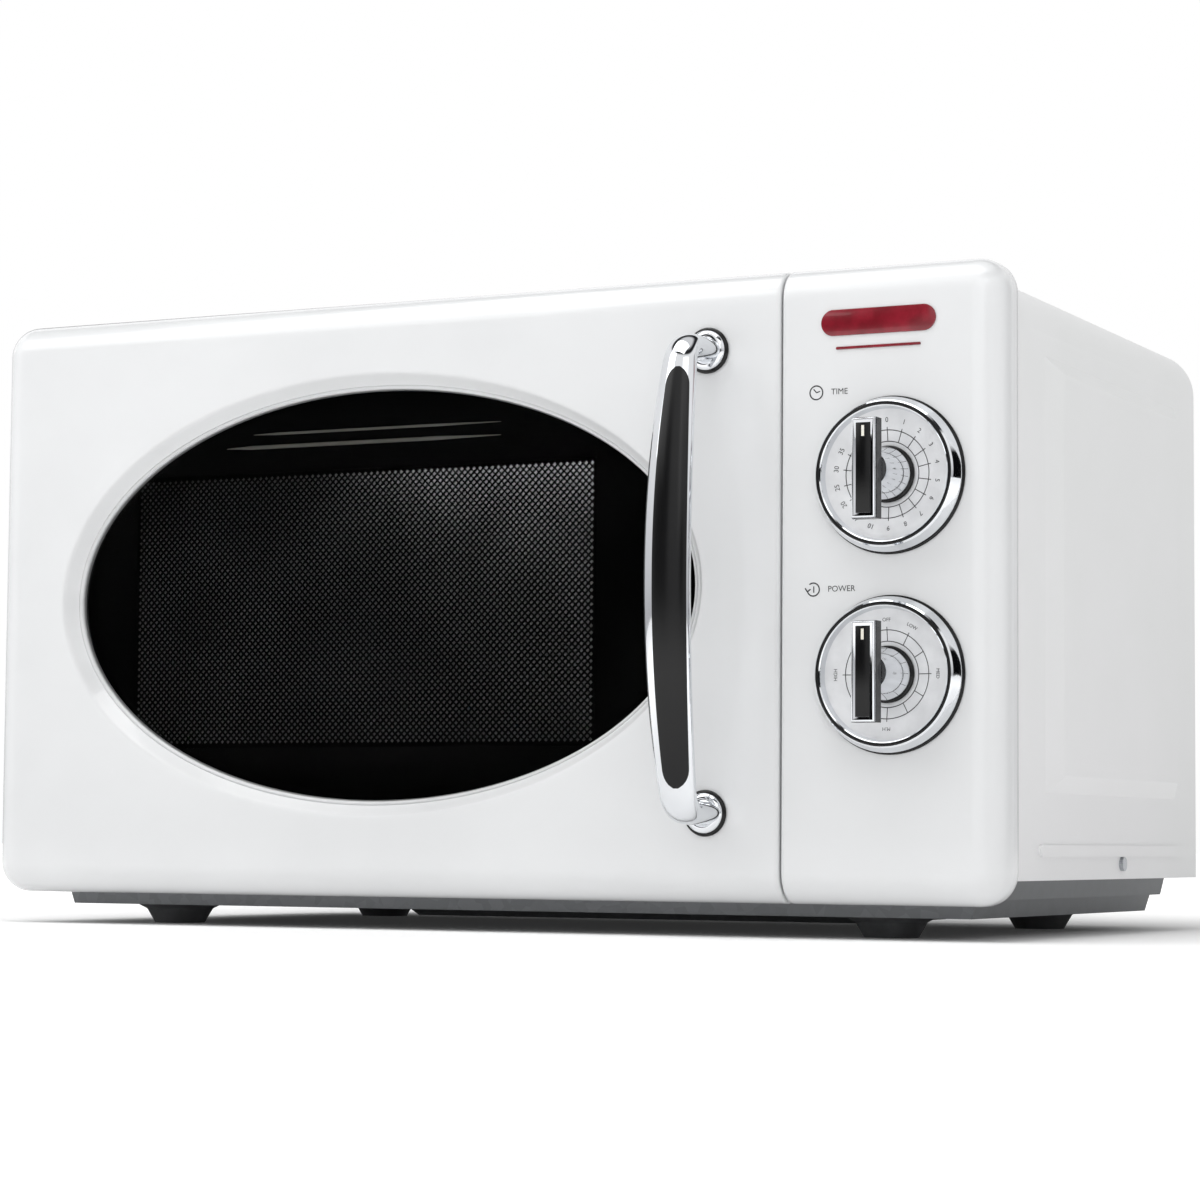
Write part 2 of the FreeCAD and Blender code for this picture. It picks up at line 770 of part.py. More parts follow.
def knob_insert(z):
    grip_front = front - grip_standoff - grip_wall
    half_length = grip_length / 2
    return box(
        (panel_centre - 2.75, grip_front - 0.4, z - half_length + 2),
        (panel_centre + 2.75, grip_front + 1.2, z + half_length - 2))


def knob_shaft(z):
    return cylinder((panel_centre, front - 17, z), "y", shaft_radius, 17 + plate_rear - front + timer_depth - 5)


def switch_body(z):
    """The housing of the timer or of the power selector, fixed behind the front plate."""
    half = timer_width / 2
    housing = box((panel_centre - half, plate_rear, z - half + 8), (panel_centre + half, plate_rear + timer_depth,
                                                                   z + half - 8))
    tab = box((panel_centre - half - 6, plate_rear, z - 6), (panel_centre + half + 6, plate_rear + 1.5, z + 6))
    bore = cylinder((panel_centre, plate_rear - 1, z), "y", shaft_radius + bearing_clearance, timer_depth - 3)
    return cut(fuse(housing, tab), bore)


# ---------------------------------------------------------------- cabinet shell
def side_emboss(towards, grow):
    """The raised field on one side of the cover, or the room behind it."""
    low_y, high_y = wrapper_front + 30, wrapper_back - 30
    low_z, high_z = wrapper_bottom + 30, wrapper_top - 26
    sign = 1 if towards == "x" else -1
    start = (wrapper_right - sheet_wall * 1.5 - grow) * sign
    end = (wrapper_right + emboss_height - grow) * sign
    return frustum(
        towards, start, end, (low_y, high_y, low_z, high_z),
        (low_y + 24, high_y - 5, low_z + 10, high_z - 8))


def cabinet_wrapper():
    """The painted cover: roof and two sides folded from one sheet."""
    cover = slab((-wrapper_right, wrapper_front, wrapper_bottom), (wrapper_right, wrapper_back, wrapper_top), "y")
    round_edges(cover, edges_of(cover.Shape, "y", z=wrapper_top), wrapper_radius)
    inside = slab(
        (-inside_right, wrapper_front - 1, wrapper_bottom - 1), (inside_right, wrapper_back + 1, inside_top), "y")
    round_edges(inside, edges_of(inside.Shape, "y", z=inside_top), wrapper_radius - sheet_wall)
    fields = [side_emboss("x", 0), side_emboss("-x", 0)]
    rooms = [side_emboss("x", sheet_wall), side_emboss("-x", sheet_wall)]
    beads = []
    for sign in (1, -1):
        low_x = smaller(wrapper_right * sign, (wrapper_right + 1) * sign)
        beads.append(rounded_block(
            (low_x, wrapper_front + 30, wrapper_bottom + 9), (low_x + 1, wrapper_back - 28, wrapper_bottom + 13.5),
            "x", 2))
    screw_holes = cylinder((-wrapper_right - 1, screw_y, screw_z), "x", 1.8, wrapper_right * 2 + 2)
    return cut(fuse(cut(cover, inside), *fields, *beads), *rooms, screw_holes)


screw_y = wrapper_front + 132
screw_z = wrapper_bottom + 6


def base_pan():
    """The stepped steel tray that closes the underside."""
    rim_z = wrapper_bottom + 1
    half = inside_right
    front_y, rear_y = plate_rear, wrapper_back - sheet_wall
    step_z = base + 2
    bottom_z = base - pan_depth
    well_z = bottom_z - 4

    def stack(inset, lift):
        """The pan's three tapered steps, shrunk and lifted by a wall for the inside."""
        start = rim_z + sheet_wall + lift
        steps = [
            ("-z", start, step_z + lift, 11, 13),
            ("-z", step_z + lift + 0.01, bottom_z + lift, 17, 19),
        ]
        solids = []
        for towards, high, low, foot_in, crown_in in steps:
            foot, crown = [
                (-half + edge + inset, half - edge - inset, front_y + edge / 2 + inset, rear_y - edge / 2 - inset)
                for edge in (foot_in, crown_in)
            ]
            solids.append(frustum(towards, high, low, foot, crown))
        well_foot = (cavity_centre - 30 + inset, bay_left + 30 - inset, front_y + 70 + inset, rear_y - 60 - inset)
        well_crown = (cavity_centre - 26 + inset, bay_left + 26 - inset, front_y + 74 + inset, rear_y - 64 - inset)
        solids.append(frustum("-z", bottom_z + lift + 0.01, well_z + lift, well_foot, well_crown))
        return fuse(*solids)

    rim = box((-half, front_y, rim_z), (half, rear_y, rim_z + sheet_wall))
    lips = [
        box((low, front_y + 60, rim_z), (low + sheet_wall, rear_y - 30, rim_z + 9)) for low in (-half, half - sheet_wall)
    ]
    tools = [stack(sheet_wall, sheet_wall)]
    tools.append(cylinder((-half - 1, screw_y, screw_z), "x", 1.8, half * 2 + 2))
    for x, y in foot_places():
        tools.append(cylinder((x, y, bottom_z - 1), "z", 3, 3))
    for index in range(8):
        slot_x = left + 110 + index * 8
        tools.append(box((slot_x, rear_y - 58, bottom_z - 1), (slot_x + 3, rear_y - 28, bottom_z + 2)))
    return cut(fuse(rim, stack(0, 0), *lips), *tools)


def foot_places():
    """Centres of the four feet."""
    inset_x = 59
    return [(x, y) for x in (left + inset_x + 4, right - inset_x - 4) for y in (front + 50, wrapper_back - 32)]


def foot(x, y):
    """A moulded cup foot with a push-in peg."""
    height = base - pan_depth
    return turned(
        [(0, 0), (foot_tip_radius, 0), (foot_radius - 4, height - 2), (foot_radius, height), (3, height),
         (3, height + sheet_wall), (0, height + sheet_wall)],
        (x, y, 0), "z")


def rear_panel():
    """The back sheet, drawn out into a box that holds the rear of the cavity."""
    sheet = slab(
        (-inside_right, wrapper_back - sheet_wall, wrapper_bottom), (inside_right, wrapper_back, inside_top), "y")
    round_edges(sheet, edges_of(sheet.Shape, "y", z=inside_top), wrapper_radius - sheet_wall)
    low_z, high_z = wrapper_bottom + 5, inside_top - 10
    half = right - bulge_inset

    def drawn(inset):
        foot_face = (-half + inset, half - inset, low_z + inset, high_z - inset)
        crown = (-half + bulge_draft + inset, half - bulge_draft - inset, low_z + bulge_draft + inset,
                 high_z - bulge_draft - inset)
        return frustum("y", wrapper_back - 1.5 * inset, back - inset, foot_face, crown)

    tools = [drawn(sheet_wall)]
    for row in range(3):
        for column in range(10):
            x = bay_left + 8 + column * 8
            z = middle + 8 + row * 28
            tools.append(box((x, back - 3, z), (x + 4, back + 1, z + 20)))
    for column in range(12):
        x = cavity_centre - 70 + column * 12
        tools.append(box((x, back - 3, base + 14), (x + 5, back + 1, base + 20)))
    tools.append(cylinder((gland_x, back - 3, gland_z), "y", 7, 5))
    return cut(fuse(sheet, drawn(0)), *tools)


gland_x = right - 58
gland_z = base + 44


def cord_gland():
    """The moulded bush that a supply lead would pass through."""
    return turned(
        [(gland_bore, -9), (8.5, -9), (8.5, -sheet_wall), (7, -sheet_wall), (7, 0), (10, 0),
         (9, gland_flange), (gland_bore, gland_flange)],
        (gland_x, back, gland_z), "y")


def cabinet_screws():
    """Two side screws and six rear screws with domed heads."""
    screws = []
    for sign, towards in ((1, "x"), (-1, "-x")):
        shank = cylinder(((wrapper_right - 5) * sign, screw_y, screw_z), towards, 1.8, 5)
        head = cylinder((wrapper_right * sign, screw_y, screw_z), towards, 2.8, 1.6)
        screws.append(fuse(shank, head))
    for x in (-right + 12, right - 12):
        for z in (wrapper_bottom + 14, middle, inside_top - 30):
            screws.append(cylinder((x, wrapper_back, z), "y", 3.2, 1.8))
    return group(*screws)


# ---------------------------------------------------------------- cavity and turntable
shaft_top = cavity_floor + 11
tray_bottom = cavity_floor + free_play * 2 + roller_radius * 2
tray_radius = smaller(cavity_right - cavity_left, cavity_back - plate_rear) / 2 - tray_margin
ring_radius = tray_radius - 32.5
roller_centre = cavity_floor + free_play + roller_radius
port_y = (plate_rear + 48.4 + fan_front) / 2
port_z = cavity_roof - 45


def cavity():
    wall = sheet_wall
    shell = box(
        (cavity_left - wall, plate_rear, cavity_floor - wall), (cavity_right + wall, cavity_back + wall,
                                                                cavity_roof + wall))
    inside = box((cavity_left, plate_rear - 1, cavity_floor), (cavity_right, cavity_back, cavity_roof))
    shaft_hole = cylinder((cavity_centre, cavity_middle, cavity_floor - 2), "z", 6, 4)
    port = box((cavity_right - 1, port_y - 32, port_z - 18), (cavity_right + 2, port_y + 32, port_z + 18))
    tools = [inside, shaft_hole, port]
    for row in range(3):
        for column in range(4):
            tools.append(cylinder(
                (cavity_right - 1, lamp_y - 12 + column * 8, lamp_z - 8 + row * 8), "x", 2, 3))
    return cut(shell, *tools)


lamp_y = fan_front - 12
lamp_z = cavity_floor + 56


def waveguide_cover():
    return box(
        (cavity_right - 0.6, port_y - 40, port_z - 26), (cavity_right, port_y + 40, port_z + 26))


def turntable_motor():
    start = (cavity_centre, cavity_middle, cavity_floor - sheet_wall)
    can = cylinder(start, "-z", 24, 14)
    ears = box(
        (cavity_centre - 34, cavity_middle - 7, cavity_floor - sheet_wall - 1.2),
        (cavity_centre + 34, cavity_middle + 7, cavity_floor - sheet_wall))
    bore = cylinder((cavity_centre, cavity_middle, cavity_floor), "-z", shaft_radius + bearing_clearance, 12)
    return cut(fuse(can, ears), bore)


def turntable_shaft():
    return cylinder((cavity_centre, cavity_middle, cavity_floor - 11), "z", shaft_radius, 20)


def turntable_coupler():
    """The three-armed driver under the glass tray."""
    low = cavity_floor + 1
    height = tray_bottom - 0.6 - low
    pieces = [cylinder((cavity_centre, cavity_middle, low), "z", 9, height)]
    for index in range(3):
        arm = DOC.addObject("Part::Box", "arm")
        for side, amount in (("Length", 24), ("Width", 7), ("Height", height)):
            arm.setExpression(side, text_of(amount))
        turn = 120 * index
        half = 3.5
        shift_x = half * math.sin(math.radians(turn))
        shift_y = -half * math.cos(math.radians(turn))
        pieces.append(swivel(arm, (cavity_centre + shift_x, cavity_middle + shift_y, low), turn))
    bore = cylinder((cavity_centre, cavity_middle, cavity_floor - 2), "z", shaft_radius, 11)
    return cut(fuse(*pieces), bore)


def glass_tray():
    rise = tray_bottom
    dish = turned(
        [(0, 0), (tray_radius - 24, 0), (tray_radius - 5, 9), (tray_radius, 14), (tray_radius - 2.5, 16),
         (tray_radius - 7, 12.5), (tray_radius - 26, tray_wall), (0, tray_wall)],
        (cavity_centre, cavity_middle, rise), "z")
    lugs = [
        cylinder((x, y, rise - 4), "z", 3, 5)
        for x, y, angle in around((cavity_centre, cavity_middle), 3, 16, start=60)
    ]
    return fuse(dish, *lugs)


def roller_ring():
    """The plastic ring that carries three rollers on stub axles."""
    ring = turned(
        [(ring_radius - 6, -2.3), (ring_radius - 2, -2.3), (ring_radius - 2, 2.3), (ring_radius - 6, 2.3)],
        (cavity_centre, cavity_middle, roller_centre), "z")
    pieces = [ring]
    for x, y, angle in around((cavity_centre, cavity_middle), 3, ring_radius - 4):
        stub = cylinder((x, y, roller_centre), "z", 1.6, 12)
        turn = FreeCAD.Rotation(AXES["z"], angle) * FreeCAD.Rotation(AXES["z"], AXES["x"])
        stub.Placement = FreeCAD.Placement(stub.Placement.Base, turn)
        pieces.append(stub)
    return fuse(*pieces)


def roller(x, y, angle):
    """A wheel with a bore that runs on one stub axle."""
    wheel = turned(
        [(1.66, -2.5), (roller_radius - 0.8, -2.5), (roller_radius, -1.7), (roller_radius, 1.7),
         (roller_radius - 0.8, 2.5), (1.66, 2.5)],
        (x, y, roller_centre), "x")
    turn = FreeCAD.Rotation(AXES["z"], angle) * FreeCAD.Rotation(AXES["z"], AXES["x"])
    wheel.Placement = FreeCAD.Placement(wheel.Placement.Base, turn)
    return wheel


# ---------------------------------------------------------------- electrical parts
def waveguide():
    """The duct that feeds microwaves from the magnetron into the cavity."""
    wall = sheet_wall
    low = (bay_left, port_y - 38, port_z - 26)
    high = (bay_left + waveguide_wall_gap, port_y + 38, port_z + 30)
    inner_low = (bay_left - 1, port_y - 38 + wall, port_z - 26 + wall)
    inner_high = (bay_left + waveguide_wall_gap - wall, port_y + 38 - wall, port_z + 30 - wall)
    antenna_hole = cylinder((bay_left + waveguide_wall_gap - 3, port_y, port_z), "x", 12, 5)
    return cut(box(low, high), box(inner_low, inner_high), antenna_hole)


magnetron_left = bay_left + waveguide_wall_gap


def magnetron_yoke():
    """The steel frame round the tube, open above and below, with the filter box on its end."""
    wall = 2
    half_y = magnetron_length / 2
    half_z = magnetron_height / 2
    frame = box(
        (magnetron_left, port_y - half_y, port_z - half_z),
        (magnetron_left + magnetron_width, port_y + half_y, port_z + half_z))
    inside = box(
        (magnetron_left + wall, port_y - half_y + wall, port_z - half_z - 1),
        (magnetron_left + magnetron_width - wall, port_y + half_y - wall, port_z + half_z + 1))
    hole = cylinder((magnetron_left - 1, port_y, port_z), "x", 10, 4)
    end = magnetron_left + magnetron_width
    filter_box = box((end, port_y - 26, port_z - 22), (end + 20, port_y + 26, port_z + 22))
    return fuse(cut(frame, inside, hole), filter_box)


def magnetron_tube():
    """The tube with its stack of cooling fins and the antenna that reaches into the duct."""
    pieces = [
        cylinder((magnetron_left + 2, port_y, port_z), "x", 20, magnetron_width - 4),
        cylinder((magnetron_left + 2, port_y, port_z), "-x", 7, 15),
        cylinder((magnetron_left - 13, port_y, port_z), "-x", 5.5, 3),
    ]
    half_y = magnetron_length / 2 - 2
    half_z = magnetron_height / 2 - 4
    for index in range(7):
        x = magnetron_left + 12 + index * 7
        pieces.append(box((x, port_y - half_y, port_z - half_z), (x + 1, port_y + half_y, port_z + half_z)))
    return fuse(*pieces)


core_left = inside_right - 21 - core_width
core_y = fan_front - 8 - core_depth / 2 - 13


def transformer_core():
    """Laminated iron with two windows, standing on the base pan."""
    low = (core_left, core_y - core_depth / 2, bay_floor)
    high = (core_left + core_width, core_y + core_depth / 2, bay_floor + core_height)
    windows = [
        box((core_left + x, core_y - core_depth, bay_floor + 11),
            (core_left + x + 13, core_y + core_depth, bay_floor + core_height - 11))
        for x in (core_width / 6, core_width * 5 / 6 - 13)
    ]
    return cut(box(low, high), *windows)


def transformer_winding(low_z, high_z):
    """One coil round the middle leg."""
    inner_low_x = core_left + core_width / 6 + 13
    inner_high_x = core_left + core_width * 5 / 6 - 13
    outer = rounded_block(
        (inner_low_x - 12.5, core_y - core_depth / 2 - 12, low_z),
        (inner_high_x + 12.5, core_y + core_depth / 2 + 12, high_z), "z", 8)
    leg = box(
        (inner_low_x, core_y - core_depth / 2, low_z - 1), (inner_high_x, core_y + core_depth / 2, high_z + 1))
    return cut(outer, leg)


def capacitor_place():
    return (inside_right - 99, plate_rear + 11, bay_floor)


def hv_capacitor():
    """An oval can lying on the pan, with two terminals."""
    x, y, z = capacitor_place()
    can = rounded_block((x, y, z), (x + 78, y + 32, z + 34), "x", 12)
    tabs = [box((x - 5, y + side, z + 14), (x + 1, y + side + 1.5, z + 20)) for side in (9, 22)]
    return fuse(can, *tabs)


def hv_diode():
    x, y, z = capacitor_place()
    return cylinder((x + 20, y + 38, z + 3.5), "x", 3.5, 22)


fan_x = bay_left + 58
fan_z = inside_top - 60


def fan_shroud():
    """The sheet with a round throat that guides the cooling air."""
    plate = box(
        (bay_left, fan_front + 8, fan_z - 54), (inside_right - 8, fan_front + 9.2, fan_z + 46))
    throat = fan_radius + fan_tip_gap
    ring = cylinder((fan_x, fan_front - 4, fan_z), "y", throat + 1.5, 12.5)
    hole = cylinder((fan_x, fan_front - 5, fan_z), "y", throat, 20)
    return cut(fuse(plate, ring), hole)


def fan_motor():
    """A shaded-pole motor on a strap across the shroud."""
    strap_y = fan_front + 17
    body = box((fan_x - 26, strap_y, fan_z - 22), (fan_x + 26, strap_y + 22, fan_z + 22))
    strap = box((fan_x - 50, strap_y - 1.5, fan_z - 7), (fan_x + 50, strap_y, fan_z + 7))
    posts = [
        cylinder((fan_x + side, fan_front + 9.2, fan_z), "y", 3.5, strap_y - 1.5 - fan_front - 9.2)
        for side in (-46.5, 46.5)
    ]
    bore = cylinder((fan_x, strap_y - 2, fan_z), "y", 2 + bearing_clearance, 20)
    return cut(fuse(body, strap, *posts), bore)


def fan_shaft():
    return cylinder((fan_x, fan_front - 4, fan_z), "y", 2, 37)


def fan_blade():
    """A moulded hub with five pitched blades."""
    pieces = [cylinder((fan_x, fan_front - 4, fan_z), "y", 11, 12)]
    pitch = 28
    for index in range(5):
        blade = DOC.addObject("Part::Box", "blade")
        for side, amount in (("Length", fan_radius - 9), ("Width", 1.4), ("Height", 19)):
            blade.setExpression(side, text_of(amount))
        spin = FreeCAD.Rotation(AXES["y"], 72 * index)
        turn = spin * FreeCAD.Rotation(AXES["x"], pitch)
        offset = spin.multVec(FreeCAD.Vector(8, 0, 0)) + turn.multVec(FreeCAD.Vector(0, -0.7, -9.5))
        blade.Placement = FreeCAD.Placement(FreeCAD.Vector(), turn)
        centre = (fan_x, fan_front + 2, fan_z)
        for name, amount, shift in zip("xyz", centre, offset):
            blade.setExpression(f"Placement.Base.{name}", text_of(amount + shift))
        pieces.append(blade)
    bore = cylinder((fan_x, fan_front - 6, fan_z), "y", 2, 20)
    return cut(fuse(*pieces), bore)


def lamp_holder():
    body = box((bay_left, lamp_y - 14, lamp_z - 13), (bay_left + 26, lamp_y + 14, lamp_z + 13))
    hollow = box((bay_left - 1, lamp_y - 12, lamp_z - 11), (bay_left + 20, lamp_y + 12, lamp_z + 11))
    return cut(body, hollow)


def lamp_bulb():
    """The small lamp, as a turned envelope with its cap."""
    return turned(
        [(0, 0), (4, 1), (6.6, 3.2), (8, 7), (7.8, 9.6), (6.4, 12.4), (5, 13.8), (5, 18), (0, 18)],
        (bay_left + 2, lamp_y, lamp_z), "x")


def cavity_thermostat():
    start = (cavity_centre + 60, cavity_middle, cavity_roof + sheet_wall)
    return fuse(cylinder(start, "z", 8, 5), cylinder(start, "z", 11, 1))


def interlock_holder():
    """The board that the latch hooks enter, with a ledge for each hook."""
    low_x = latch_x - 10
    high_x = latch_x + 12
    low_z = middle - latch_half - 2
    high_z = middle + latch_half + 6
    depth = 24
    block = box((low_x, plate_rear, low_z), (high_x, plate_rear + depth, high_z))
    tools = []
    for level in hook_levels():
        tools.append(box(
            (latch_x - 4.5, plate_rear - 1, level - 3.5), (latch_x + 4.5, plate_rear + 7, level + 14)))
        tools.append(box(
            (latch_x - 4.5, plate_rear + 6.5, level - 7), (latch_x + 4.5, plate_rear + depth - 4, level + 14)))
        tools.append(cylinder(
            (latch_x, plate_rear + depth - 5, level + 2), "y", 2.6, 7))
    tools.append(box(
        (low_x + 3, plate_rear + 3, middle - latch_half + 32),
        (high_x + 1, plate_rear + depth + 1, middle + latch_half - 34)))
    return cut(block, *tools)


def interlock_switches():
    """Two snap switches behind the board, one for each hook, with their buttons pressed."""
    switches = []
    for level in hook_levels():
        low = (latch_x - 5, plate_rear + 24, level - 8)
        high = (latch_x + 5, plate_rear + 40, level + 20)
        button = cylinder((latch_x, plate_rear + 25, level + 2), "-y", 1.5, 4)
        tabs = [
            box((latch_x - 0.4, plate_rear + 40, level + z), (latch_x + 0.4, plate_rear + 46, level + z + 5))
            for z in (-4, 5, 13)
        ]
        switches.append(fuse(box(low, high), button, *tabs))
    return group(*switches)


def filter_board():
    """The mains filter: a board on two spacers in front of the rear sheet."""
    rear = wrapper_back - sheet_wall
    low_x = bay_left + 12
    board = box((low_x, rear - 9.6, base + 12), (low_x + 62, rear - 8, base + 52))
    spacers = [
        cylinder((x, rear - 8, base + 46), "y", 3, 8)
        for x in (low_x + 8, low_x + 54)
    ]
    coil = cylinder((low_x + 20, rear - 9.6, base + 32), "-y", 9, 12)
    fuse_body = cylinder((low_x + 34, rear - 12.8, base + 22), "x", 3.4, 22)
    return fuse(board, *spacers, coil, fuse_body)


# ---------------------------------------------------------------- assembly
def make_all():
    subpart("door_outer_frame", door_outer_frame())
    subpart("window_glass", window_glass())
    subpart("door_inner_panel", door_inner_panel())
    subpart("door_film", door_film())
    subpart("choke_cover", choke_cover())
    subpart("latch_hook", latch_hook())
    subpart("latch_spring", latch_spring())
    subpart("handle", handle())
    subpart("handle_insert", handle_insert())
    subpart("handle_screws", handle_screws())
    subpart("hinge_brackets", hinge_brackets())
    subpart("hinge_pins", hinge_pins())
    subpart("hinge_screws", hinge_screws())
    subpart("front_plate", front_plate())
    subpart("control_panel", control_panel())
    for name, z in (("time", time_dial_z), ("power", power_dial_z)):
        subpart(f"{name}_dial_plate", dial_plate(z))
        subpart(f"{name}_bezel", bezel(z))
        subpart(f"{name}_knob", knob(z))
        subpart(f"{name}_knob_insert", knob_insert(z))
        subpart(f"{name}_shaft", knob_shaft(z))
    subpart("timer", switch_body(time_dial_z))
    subpart("power_selector", switch_body(power_dial_z))
    subpart("cabinet_wrapper", cabinet_wrapper())
    subpart("base_pan", base_pan())
    subpart("rear_panel", rear_panel())
    subpart("cord_gland", cord_gland())
    subpart("cabinet_screws", cabinet_screws())
    subpart("feet", group(*[foot(x, y) for x, y in foot_places()]))
    subpart("cavity", cavity())
    subpart("waveguide_cover", waveguide_cover())
    subpart("turntable_motor", turntable_motor())
    subpart("turntable_shaft", turntable_shaft())
    subpart("turntable_coupler", turntable_coupler())
    subpart("glass_tray", glass_tray())
    subpart("roller_ring", roller_ring())
    wheels = around((cavity_centre, cavity_middle), 3, ring_radius + 3)
    for number, (x, y, angle) in enumerate(wheels, 1):
        subpart(f"roller_{number}", roller(x, y, angle))
    subpart("waveguide", waveguide())
    subpart("magnetron_yoke", magnetron_yoke())
    subpart("magnetron_tube", magnetron_tube())
    subpart("transformer_core", transformer_core())
    subpart("transformer_windings", group(
        transformer_winding(bay_floor + 11.5, bay_floor + 31),
        transformer_winding(bay_floor + 33, bay_floor + core_height - 12)))
    subpart("hv_capacitor", hv_capacitor())
    subpart("hv_diode", hv_diode())
    subpart("fan_shroud", fan_shroud())
    subpart("fan_motor", fan_motor())
    subpart("fan_shaft", fan_shaft())
    subpart("fan_blade", fan_blade())
    subpart("lamp_holder", lamp_holder())
    subpart("lamp_bulb", lamp_bulb())
    subpart("cavity_thermostat", cavity_thermostat())
    subpart("interlock_holder", interlock_holder())
    subpart("interlock_switches", interlock_switches())
    subpart("filter_board", filter_board())


def check_all():
    """Stop before anything is written if an object failed or a shape is not sound."""
    for thing in DOC.Objects:
        if "Invalid" in thing.State or "Error" in thing.State:
            raise RuntimeError(f"{thing.Name} ({thing.Label}) failed: {thing.State}")
    for thing in SUBPARTS:
        if thing.Shape.isNull() or not thing.Shape.isValid():
            raise RuntimeError(f"{thing.Label} has no sound shape")


def write_all():
    os.makedirs("parts", exist_ok=True)
    for thing in SUBPARTS:
        thing.Shape.exportStep(f"parts/{thing.Label}.step")
        print(f"{thing.Label}: {len(thing.Shape.Solids)} solids, {thing.Shape.Volume / 1000:.2f} cm3")


make_all()
DOC.recompute()
check_all()
write_all()
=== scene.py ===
# %% [markdown]
# A table-top microwave oven with a dial timer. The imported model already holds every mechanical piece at
# its true place, so this file starts from it and keeps it as a fixed frame. The steps below give every
# piece its real finish, and model again the pieces whose soft shapes and printed marks carry the look.

# %% Load the frame
import math

import bmesh
import bpy
from mathutils import Matrix, Vector


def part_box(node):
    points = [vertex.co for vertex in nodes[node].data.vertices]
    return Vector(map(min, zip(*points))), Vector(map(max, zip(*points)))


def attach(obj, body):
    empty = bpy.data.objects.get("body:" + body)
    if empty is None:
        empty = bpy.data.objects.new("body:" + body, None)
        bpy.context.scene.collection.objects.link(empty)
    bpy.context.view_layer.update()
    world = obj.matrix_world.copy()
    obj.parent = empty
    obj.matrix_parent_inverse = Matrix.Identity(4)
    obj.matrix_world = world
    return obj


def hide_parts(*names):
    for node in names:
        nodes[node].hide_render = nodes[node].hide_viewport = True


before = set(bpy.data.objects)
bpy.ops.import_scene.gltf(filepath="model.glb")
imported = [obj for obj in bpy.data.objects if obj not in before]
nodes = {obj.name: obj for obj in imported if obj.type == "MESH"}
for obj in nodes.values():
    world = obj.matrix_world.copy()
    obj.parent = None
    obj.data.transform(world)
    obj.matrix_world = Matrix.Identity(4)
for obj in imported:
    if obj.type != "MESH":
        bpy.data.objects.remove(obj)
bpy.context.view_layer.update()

# %% [markdown]
# Drawings of an appliance are in millimetres and Blender works in metres, so one constant turns sizes
# over. Points closer than NEAR, a thousandth of a millimetre, count as one. Colours are picked as sRGB hex,
# the way a paint maker lists them, and turned to linear light here.

# %% Units and colours
MM = 0.001
NEAR = 0.001 * MM


def tint(code):
    """The linear colour of an sRGB hex code."""
    channels = [int(code[start:start + 2], 16) / 255 for start in (1, 3, 5)]
    return (*[c / 12.92 if c <= 0.04045 else ((c + 0.055) / 1.055) ** 2.4 for c in channels], 1)


print("mid grey", [round(channel, 3) for channel in tint("#808080")])

# %% [markdown]
# A studio picture of an appliance is taken with a long lens from a low stand, a little to the right of the
# front. The long lens keeps the sides nearly parallel. The camera stands 1.4 m away, just above the table.

# %% Camera
CAMERA_PLACE = (0.63403, -1.28098, 0.03627)
LENS = 99.771
TURN, TILT, ROLL = 26.44, 94.14, 0.45
camera = bpy.data.objects.new("camera", bpy.data.cameras.new("camera"))
bpy.context.scene.collection.objects.link(camera)
camera.data.lens = LENS
camera.data.sensor_width = 36
camera.data.clip_start = 0.05
turn = Matrix.Rotation(math.radians(TURN), 4, "Z") @ Matrix.Rotation(math.radians(TILT), 4, "X")
camera.matrix_world = (
    Matrix.Translation(CAMERA_PLACE) @ turn @ Matrix.Rotation(math.radians(ROLL), 4, "Z"))
bpy.context.scene.camera = camera
bpy.context.scene.view_settings.view_transform = "Standard"
print("camera", [round(value, 3) for value in camera.matrix_world.translation])

# %% [markdown]
# Chrome and gloss paint show the room more than themselves. The room is a white cove with a few dark
# panels. The world holds that room as a soft band pattern that only reflections see, plain white behind
# the object, and for diffuse light a glow that is strongest from the front and above. One function adds a
# shader node with its settings and links, and every material uses it.


# %% Node helper and world
def add(tree, kind, inputs=None, **settings):
    """Adds one node: settings are its properties, and inputs are constants or sockets to link from."""
    node = tree.nodes.new(kind)
    for name, value in settings.items():
        setattr(node, name, value)
    for name, value in (inputs or {}).items():
        if isinstance(value, bpy.types.NodeSocket):
            tree.links.new(value, node.inputs[name])
        else:
            node.inputs[name].default_value = value
    return node


def ramp(tree, source, stops):
    """A colour ramp with (place, hex colour) stops."""
    node = add(tree, "ShaderNodeValToRGB", {0: source})
    while len(node.color_ramp.elements) < len(stops):
        node.color_ramp.elements.new(0.5)
    for element, (place, code) in zip(node.color_ramp.elements, stops):
        element.position = place
        element.color = tint(code)
    return node.outputs[0]


world = bpy.data.worlds.new("white_cove")
bpy.context.scene.world = world
world.use_nodes = True
sky = world.node_tree
sky.nodes.clear()
towards = add(sky, "ShaderNodeTexCoord").outputs["Generated"]
direction = add(sky, "ShaderNodeSeparateXYZ", {0: towards})
rise = add(sky, "ShaderNodeMapRange", {0: direction.outputs[2], 1: -1.0, 2: 1.0}).outputs[0]
around = add(
    sky, "ShaderNodeMath", {0: direction.outputs[0], 1: direction.outputs[1]}, operation="ARCTAN2")
bearing = add(sky, "ShaderNodeMapRange", {0: around.outputs[0], 1: -math.pi, 2: math.pi}).outputs[0]
walls = ramp(sky, rise, [
    (0.0, "#D0D0D2"), (0.44, "#E4E4E5"), (0.5, "#B8B8BB"), (0.62, "#F2F2F3"), (0.8, "#FFFFFF"),
    (0.84, "#FFFFFF"), (0.87, "#2A2A2C"), (0.92, "#2A2A2C"), (0.96, "#E8E8E9")])
